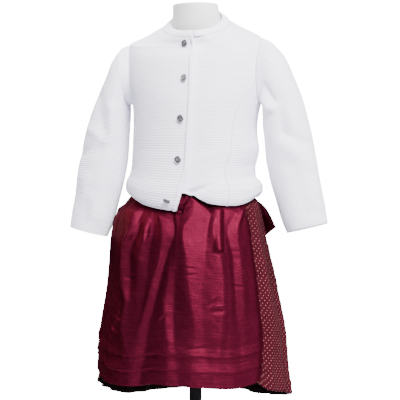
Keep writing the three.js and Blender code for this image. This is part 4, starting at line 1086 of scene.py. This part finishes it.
def risen(hem, angle, level):
    """The height of a level of the cardigan at an angle, above a hem of its own."""
    side = np.maximum(0, (HEM_FROM - level) / (HEM_FROM - HEM_LEVEL))
    dip = 26 * smooth(930, NECK_LEVEL, level) * np.cos(np.radians(angle))
    return level - dip + side * (curve(hem, "height", angle) - HEM_LEVEL)


def cardigan_point(hem, angle, level, ring_level=None):
    """The cardigan's outside without its ridges. Its left shoulder is a little higher than the right."""
    point = ring_point(CARDIGAN_RINGS, angle, level if ring_level is None else ring_level)
    point[..., 2] = risen(hem, angle, level)
    point[..., 2] += 0.015 * point[..., 0] * smooth(880, 975, level)
    return point


def moved(surface_of, angle, level, distance):
    """Moves points of a surface along its outward normal."""
    across = surface_of(angle + 0.4, level) - surface_of(angle - 0.4, level)
    up = surface_of(angle, level + 0.8) - surface_of(angle, level - 0.8)
    return surface_of(angle, level) + unit(np.cross(across, up)) * np.asarray(distance)[..., None]


def corner_fold(point, angle):
    """The fold that the left front's corner makes above its hem: a trough that rises to the side."""
    fold = CORNER_FOLD
    along = (angle - fold["from_angle"]) / (fold["to_angle"] - fold["from_angle"])
    inside_it = (along > 0) & (along < 1)
    height = mix(fold["from_height"], fold["to_height"], along)
    trough = ridge(point[..., 2] - height, fold["half_width"])
    return -fold["depth"] * np.where(inside_it, (1 - along * along) * smooth(0, 0.2, along) * trough, 0)


def right_front(angle, level):
    return cardigan_point(HEM_RIGHT_FRONT, angle, level)


def back_panel(angle, level):
    return cardigan_point(HEM_BACK, angle, level)


def left_front_plain(angle, level):
    """The left front as if nothing lay over it. Near the middle its rings are the right front's."""
    height = risen(HEM_LEFT_FRONT, angle, level)
    behind = level_near(curve(HEM_RIGHT_FRONT, "height", angle), height)
    ring_level = np.where(level < HEM_FROM, mix(behind, level, smooth(8, 20, angle)), level)
    return cardigan_point(HEM_LEFT_FRONT, angle, level, ring_level)


def left_front(angle, level):
    """The left front, moved in under the right one, with the fold above its corner."""
    plain = left_front_plain(angle, level)
    inward = -(KNIT + 0.9) * (1 - smooth(9, 27, angle)) + corner_fold(plain, angle)
    return moved(left_front_plain, angle, level, inward)


def armhole_opening(level):
    """Half the armhole's opening, in degrees round the body, at a level."""
    share = np.clip((level - ARMHOLE["height"]) / ARMHOLE["half_height"], -1, 1)
    return ARMHOLE["half_angle"] * np.sqrt(1 - share * share)


def panel_limit(level):
    """The angle at which a panel ends, at the side seam or at the armhole."""
    return 90 - HALF_SEAM - armhole_opening(level)


def courses(surface_of, start, end):
    """A lookup of the knit's own height in millimetres at an angle and a level. Below one level the
    ridges turn gradually until they run along the hem."""
    angles = np.arange(start, end + 2, 2.0)
    levels = np.arange(HEM_LEVEL, NECK_LEVEL + 1, 1.0)
    points = surface_of(angles[None, :], np.repeat(levels[:, None], len(angles), 1))
    up = np.linalg.norm(np.diff(points, axis=0), axis=-1)
    rise = np.concatenate([np.zeros((1, len(angles))), np.cumsum(up, 0)])
    low = rise[RIDGES_LEVEL - HEM_LEVEL]
    near_hem = levels[:, None] < RIDGES_LEVEL
    rise = np.where(near_hem, (rise - low) * RIDGES_BELOW * RIDGE / low, rise - low)

    def at(angle, level):
        i = np.clip((angle - start) / 2, 0, len(angles) - 1.001)
        j = np.clip(level - HEM_LEVEL, 0, len(levels) - 1.001)
        i0, j0 = i.astype(int), j.astype(int)
        below = mix(rise[j0, i0], rise[j0, i0 + 1], i - i0)
        above = mix(rise[j0 + 1, i0], rise[j0 + 1, i0 + 1], i - i0)
        return mix(below, above, j - j0)

    return at


def ridges(rise):
    """The surface of the ridges: rounded ribs with a narrow groove between them, from -1 to 0."""
    return np.abs(np.sin(np.pi * rise / RIDGE)) ** 0.8 - 1


def even_levels(surface_of, angle, low, high, spacing, skip):
    """Levels that are evenly spaced along the cloth."""
    fine = np.linspace(low, high, 400)
    points = surface_of(np.full(400, float(angle)), fine)
    run = np.concatenate([[0], np.cumsum(np.linalg.norm(np.diff(points, axis=0), axis=-1))])
    count = int(round(run[-1] / spacing / skip)) * skip + 1
    return np.interp(np.linspace(0, run[-1], count), run, fine)


# The inside of the knit has one row for six of the outside.
SKIP = 6
right_courses = courses(right_front, -92, 12)
left_courses = courses(left_front, -20, 92)
back_courses = courses(back_panel, 88, 272)


def knit_panel(name, node_name, surface_of, rise_of, levels, start, end, columns, sewn):
    """A panel between two edges, each an angle for a level. Its sewn edges are drawn in."""
    level = levels[:, None]
    share = np.linspace(0, 1, columns)[None, :]
    angle = mix(start(level), end(level), share)
    level = np.broadcast_to(level, angle.shape)
    base = surface_of(angle, level)
    out = normals(base)
    rise = rise_of(angle, level)
    spread = measured(base)
    from_start, from_end = spread[..., 0], spread[:, -1:, 0] - spread[..., 0]
    drawn = sewn[0] * np.exp(-((from_start / SEAM_REACH) ** 2))
    drawn = drawn + sewn[1] * np.exp(-((from_end / SEAM_REACH) ** 2))
    seamed = np.minimum(1, drawn)
    lift = RIDGE_RISE * ridges(rise) * (1 - seamed) + SEAM_LIFT * drawn
    outside = base + out * lift[..., None]
    inside = (base - out * (KNIT + 0.5 * seamed)[..., None])[::SKIP]
    spread[..., 1] = rise
    made = wall(name, outside, inside, spread, knit)
    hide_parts(node_name)


def seam_at(side):
    """The princess seam of a side, as an angle for each level."""
    return lambda level: curve(PRINCESS_SEAM, side, level)


def front_limit(side):
    """The outer edge of a front: its princess seam, and above the seam's top the armhole."""
    seam = seam_at(side)
    return lambda level: np.where(level <= PRINCESS_TOP, seam(level) - HALF_SEAM, panel_limit(level))


def front_edge(level):
    return curve(FRONT_EDGE, "angle", level)


right_limit, left_limit = front_limit("right"), front_limit("left")
levels = even_levels(right_front, -30, HEM_LEVEL, NECK_LEVEL, 0.68, SKIP)
knit_panel(
    "right_front", "cardigan_front_right", right_front, right_courses, levels,
    lambda v: -right_limit(v), front_edge, 46, (1, 0),
)
levels = even_levels(left_front, 25, HEM_LEVEL, NECK_LEVEL, 0.68, SKIP)
knit_panel(
    "left_front", "cardigan_front_left", left_front, left_courses, levels, lambda v: -16 + 0 * v,
    left_limit, 54, (0, 1),
)
levels = even_levels(right_front, -75, HEM_LEVEL, PRINCESS_TOP, 0.68, SKIP)
knit_panel(
    "right_side_front", "cardigan_side_front_right", right_front, right_courses, levels,
    lambda v: -panel_limit(v), lambda v: -seam_at("right")(v) - HALF_SEAM, 24, (1, 1),
)
levels = even_levels(left_front, 75, HEM_LEVEL, PRINCESS_TOP, 0.68, SKIP)
knit_panel(
    "left_side_front", "cardigan_side_front_left", left_front, left_courses, levels,
    lambda v: seam_at("left")(v) + HALF_SEAM, panel_limit, 28, (1, 1),
)
levels = even_levels(back_panel, 180, HEM_LEVEL, NECK_LEVEL, 0.7, SKIP)
knit_panel(
    "back", "cardigan_back", back_panel, back_courses, levels, lambda v: 180 - panel_limit(v),
    lambda v: 180 + panel_limit(v), 74, (1, 1),
)

# ---------------------------------------------------------------- front band
# A narrow knitted band along the right front's free edge, doubled over it and sewn down.
BAND_ANGLE, BAND_CROWN = 3.6, 3.0
levels = even_levels(right_front, 2, HEM_LEVEL, NECK_LEVEL, 0.9, 2)[:, None]
share = np.linspace(0, 1, 17)[None, :]
angle = front_edge(levels) - BAND_ANGLE * (1 - share)
level = np.broadcast_to(levels, angle.shape)
base = moved(right_front, angle, level, np.full(angle.shape, 0.3))
out = normals(base)
crown = BAND_CROWN * (1 - np.abs(2 * share - 1) ** 4) ** 0.5
rise = right_courses(angle, level)
lift = 0.25 + crown + 0.25 * ridges(rise) * (crown > 1)
outside = base + out * lift[..., None]
spread = measured(base)
spread[..., 1] = rise
trim = wall("front_band", outside, base, spread, knit)
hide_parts("cardigan_front_trim")

# ---------------------------------------------------------------- neckband
# A rib-knit band that stands on the neckline and leans towards the neck, open at the centre front.
BAND_HEIGHT, BAND_THICK, BAND_END = 12.0, 2.6, 6.4
angle = np.linspace(BAND_END + 1.5, BAND_END + 360, 541)[None, :]
share = np.linspace(0, 1, 15)[:, None]
aside = np.abs(np.sin(np.radians(angle)))


def neckband_point(depth):
    """A point of the band, at a depth inwards from its outside."""
    point = cardigan_point(HEM_BACK, angle, np.full(angle.shape, float(NECK_LEVEL)))
    inward = unit(np.stack([-point[..., 0], 6 - point[..., 1]], -1))
    lean = mix(3, 14, aside) * share - 1.6 * np.sin(np.pi * share)
    point = np.repeat(point, len(share), 0)
    point[..., :2] += inward * (lean + depth * mix(1, 0.75, aside))[..., None]
    point[..., 2] += 0.3 + BAND_HEIGHT * share * mix(1, 0.88, aside) - 0.5 * depth * aside
    return point


plain = neckband_point(0.0)
spread = measured(plain)
rib = 0.35 * (1 - np.abs(np.sin(np.pi * spread[..., 0] / 3.4)) ** 0.7)
rib = rib * np.sin(np.pi * np.clip(share, 0.06, 0.94))
made = wall("neckband", neckband_point(rib), neckband_point(BAND_THICK), spread, knit)
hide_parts("cardigan_neckband")

# ---------------------------------------------------------------- sleeves
# Long set-in sleeves knitted to shape, with their ridges square to the arm, that hang out from the
# shoulders and end in a plain edge.
SLEEVE_STEPS = 87
SLEEVES = {
    "right": table(
        "place outer_x outer_z inner_x inner_z y deep",
        (0, -145, 963, -132, 858, 11, 40),
        (1, -160.5, 941, -129.5, 852, 10, 42),
        (2, -172, 911, -128, 843, 8, 42),
        (3, -191, 868, -127, 826, 5, 41),
        (4, -206, 823, -127.5, 800, 2, 40),
        (5, -216.5, 779.5, -128.5, 762, -2, 39),
        (6, -224, 734.5, -134, 721, -7, 37),
        (7, -228.5, 685.5, -143.5, 678, -12, 34),
        (8, -233.5, 654, -153, 639, -16, 32),
        (9, -235.5, 630, -164, 612, -19, 30),
    ),
    "left": table(
        "place outer_x outer_z inner_x inner_z y deep",
        (0, 141.5, 966, 130, 857, 11, 40),
        (1, 164, 940.5, 130, 849, 10, 42),
        (2, 179.5, 907, 130, 842, 8, 42),
        (3, 196.5, 866, 130, 827, 5, 41),
        (4, 209, 822, 131.5, 801, 2, 40),
        (5, 219, 780, 135, 764, -2, 39),
        (6, 227, 734.5, 143, 722, -7, 37),
        (7, 236, 691, 156, 680, -12, 34),
        (8, 244, 654.5, 168, 642, -16, 32),
        (9, 247, 637.5, 177.5, 621, -19, 30),
    ),
}


def armhole_ring(side, around):
    """The seam ring of a sleeve, just inside the armhole's edge."""
    angle = side * (90 - (ARMHOLE["half_angle"] - 0.3) * np.sin(around))
    level = ARMHOLE["height"] + (ARMHOLE["half_height"] - 0.6) * np.cos(around)
    return back_panel(angle, level)


def sleeve_ring(rows, place, around):
    """The sleeve's outside round the arm, at a place of its table."""
    value = {column: curve(rows, column, place) for column in rows}
    outer = np.stack([value["outer_x"], value["y"], value["outer_z"]], -1)
    inner = np.stack([value["inner_x"], value["y"], value["inner_z"]], -1)
    middle, half = (outer + inner) / 2, (outer - inner) / 2
    point = middle + half * np.cos(around)[..., None]
    point[..., 1] -= value["deep"] * np.sin(around)
    return point


# Soft folds of the hanging sleeves, seen from the front: from a point across and up to another, the half
# width, and how far each stands out. The negative ones are hollows.
SOFT_FOLDS = [
    (-96, 828, -98, 770, 13, -7),
    (128, 878, 146, 846, 7, -10),
    (136, 888, 154, 858, 6, 4),
    (122, 864, 136, 838, 6, -4),
    (118, 822, 112, 752, 15, -9),
    (136, 796, 142, 770, 8, 3),
    (-180, 872, -166, 800, 12, -4),
    (-196, 812, -160, 790, 10, 3),
    (-214, 768, -176, 776, 12, -3.5),
    (-204, 720, -176, 650, 14, 3),
    (-190, 700, -200, 640, 10, -2.5),
    (-152, 850, -150, 800, 9, 4),
    (166, 862, 172, 800, 10, 4),
    (176, 846, 210, 800, 14, -3),
    (172, 800, 206, 782, 10, 3),
    (178, 776, 226, 742, 14, -3.5),
    (190, 740, 214, 656, 13, 3),
    (226, 716, 232, 668, 9, -2.5),
]


def soft_folds(points):
    """How far the soft folds lift the front of a sleeve at points of it."""
    lift = 0
    forward = smooth(10, -30, points[..., 1])
    for x0, z0, x1, z1, half, depth in SOFT_FOLDS:
        run = np.array([x1 - x0, z1 - z0], float)
        length = np.hypot(*run)
        along = ((points[..., 0] - x0) * run[0] + (points[..., 2] - z0) * run[1]) / length**2
        beside = ((points[..., 0] - x0) * run[1] - (points[..., 2] - z0) * run[0]) / length
        beyond = np.maximum(0, np.abs(along - 0.5) - 0.5) * length / half
        lift = lift + depth * np.exp(-((beside / half) ** 2) - beyond**2)
    return lift * forward


def sleeve(name, side, rows):
    """A tube of knit along the arm. Its cap, from place -1 to 0, joins it to the armhole's seam."""
    around = np.linspace(0, 2 * math.pi, 73)[None, :-1]
    start = armhole_ring(side, around)
    first = sleeve_ring(rows, np.zeros((1, 1)), around)
    fine = np.linspace(-1, 9, 400)[:, None]
    line = sleeve_ring(rows, np.maximum(fine, 0), np.array([[math.pi / 2, -math.pi / 2]])).mean(1)
    line = np.where(fine < 0, mix(start.mean((0, 1)), line[0], fine + 1), line)
    run = np.concatenate([[0], np.cumsum(np.linalg.norm(np.diff(line, axis=0), axis=-1))])
    runs = np.linspace(0, run[-1], SKIP * SLEEVE_STEPS + 1)[::-1, None]
    places = np.interp(runs, run, fine[:, 0])
    tube = sleeve_ring(rows, np.maximum(places, 0), around)
    step = sleeve_ring(rows, np.full((1, 1), 0.1), around) - first
    t = np.clip(places, None, 0)[..., None] + 1
    bulge = (t**3 - t**2) * (step * 10 - (first - start)) * 0.6
    base = np.where(places[..., None] < 0, mix(start, first, t) + bulge, tube)
    held = smooth(0, 40, runs) * smooth(0, 30, run[-1] - runs)
    base = base + normals(base, ring=True) * (soft_folds(base) * held)[..., None]
    out = normals(base, ring=True)
    middle = np.stack([np.interp(runs[:, 0], run, line[:, i]) for i in range(3)], -1)
    down = -unit(np.gradient(middle, axis=0))[:, None, :]
    square = np.sum((base - middle[:, None, :]) * down, -1) * smooth(0, 110, run[-1] - runs)
    rise = run[-1] - (runs + square)
    outside = base + out * (RIDGE_RISE * ridges(rise))[..., None]
    inside = (base - out * KNIT)[::SKIP]
    spread = measured(base, ring=True)
    spread[..., 1] = np.concatenate([rise, rise[:, :1]], 1)
    made = wall(name, outside, inside, spread, knit, ring=True)
    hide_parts("cardigan_" + name)


sleeve("sleeve_right", -1, SLEEVES["right"])
sleeve("sleeve_left", 1, SLEEVES["left"])

# ---------------------------------------------------------------- buttons
# Five cast buttons of darkened metal with a raised rim and a plain flower in relief, each on a shank
# sewn to the right front. One row each: its angle and level, how far it tips down and turns to the
# right, in degrees, and how far it stands off the knit.
BUTTONS = [
    ("button_1", -4.6, 988, 0, 20, 3.3),
    ("button_2", -0.6, 899, 0, 22, 2.1),
    ("button_3", -2.4, 826, 0, 12, 1.4),
    ("button_4", -4.2, 752, 0, 8, 1.2),
    ("button_5", -11.5, 702, 58, 12, 3.6),
]
dark_metal, tree, shader = surface("darkened_metal", Metallic=1.0)
tone = toned(tree, 420.0)
edge = node(tree, "NewGeometry").outputs["Pointiness"]
# Pointy edges turn light grey: partly rubbed metal, partly a painted highlight on the rims.
rubbed_and_highlit_edge = node(tree, "MapRange", Value=edge, From_Min=0.47, From_Max=0.56).outputs[0]
rubbed_and_highlit_edge = maths(tree, "MULTIPLY", rubbed_and_highlit_edge, ranged(tree, tone["Tone"], 0.5, 1.2))
coloured(tree, shader, rubbed_and_highlit_edge, (0.03, 0.03, 0.034, 1), (0.62, 0.62, 0.64, 1))
tree.links.new(ranged(tree, tone["Fine"], 0.28, 0.5), shader.inputs["Roughness"])

# The face rises over the edge's top, and four more rings make the edge down to the back.
FACE_RADIUS, EDGE_TOP = 6.9, 1.9
face_radius = np.linspace(0.4, FACE_RADIUS, 26)
around = np.linspace(0, 2 * math.pi, 72, endpoint=False)
share = face_radius[:, None] / FACE_RADIUS
petals = 0.55 * np.cos(3 * around) ** 2 * ridge(share - 0.42, 0.34)
rim = 0.75 * ridge(share - 0.9, 0.13) * (1 + 0.12 * np.cos(24 * around))
face = EDGE_TOP + petals + rim + 0.6 * ridge(share, 0.2)
side = np.repeat(np.array([[EDGE_TOP], [1.2], [0.5], [0.0]]), 72, 1)
radius = np.concatenate([face_radius, [7.0, 7.0, 6.8, 6.3]])[:, None]
levels = np.concatenate([face, side])
button_rings = np.stack([radius * np.cos(around), radius * np.sin(around), levels], -1)[::-1]
UPRIGHT = np.array([0, 0, 1.0])


def rotated(vector, about, degrees):
    """A vector turned about another one."""
    c, s = math.cos(math.radians(degrees)), math.sin(math.radians(degrees))
    return vector * c + np.cross(about, vector) * s + about * np.dot(about, vector) * (1 - c)


for name, angle, level, tip, turned_by, standoff in BUTTONS:
    at = np.array([float(angle)]), np.array([float(level)])
    sewn_at = right_front(*at)[0]
    outward = moved(right_front, *at, [1.0])[0] - sewn_at
    tipped = rotated(outward, unit(np.cross(UPRIGHT, outward)), tip)
    facing = rotated(tipped, UPRIGHT, -turned_by)
    across = unit(np.cross(UPRIGHT, facing))
    axes = np.array([across, np.cross(facing, across), facing])
    points = sewn_at + outward * standoff + button_rings @ axes
    made = lofted(name + "_cast", points, dark_metal)
    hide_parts(name)
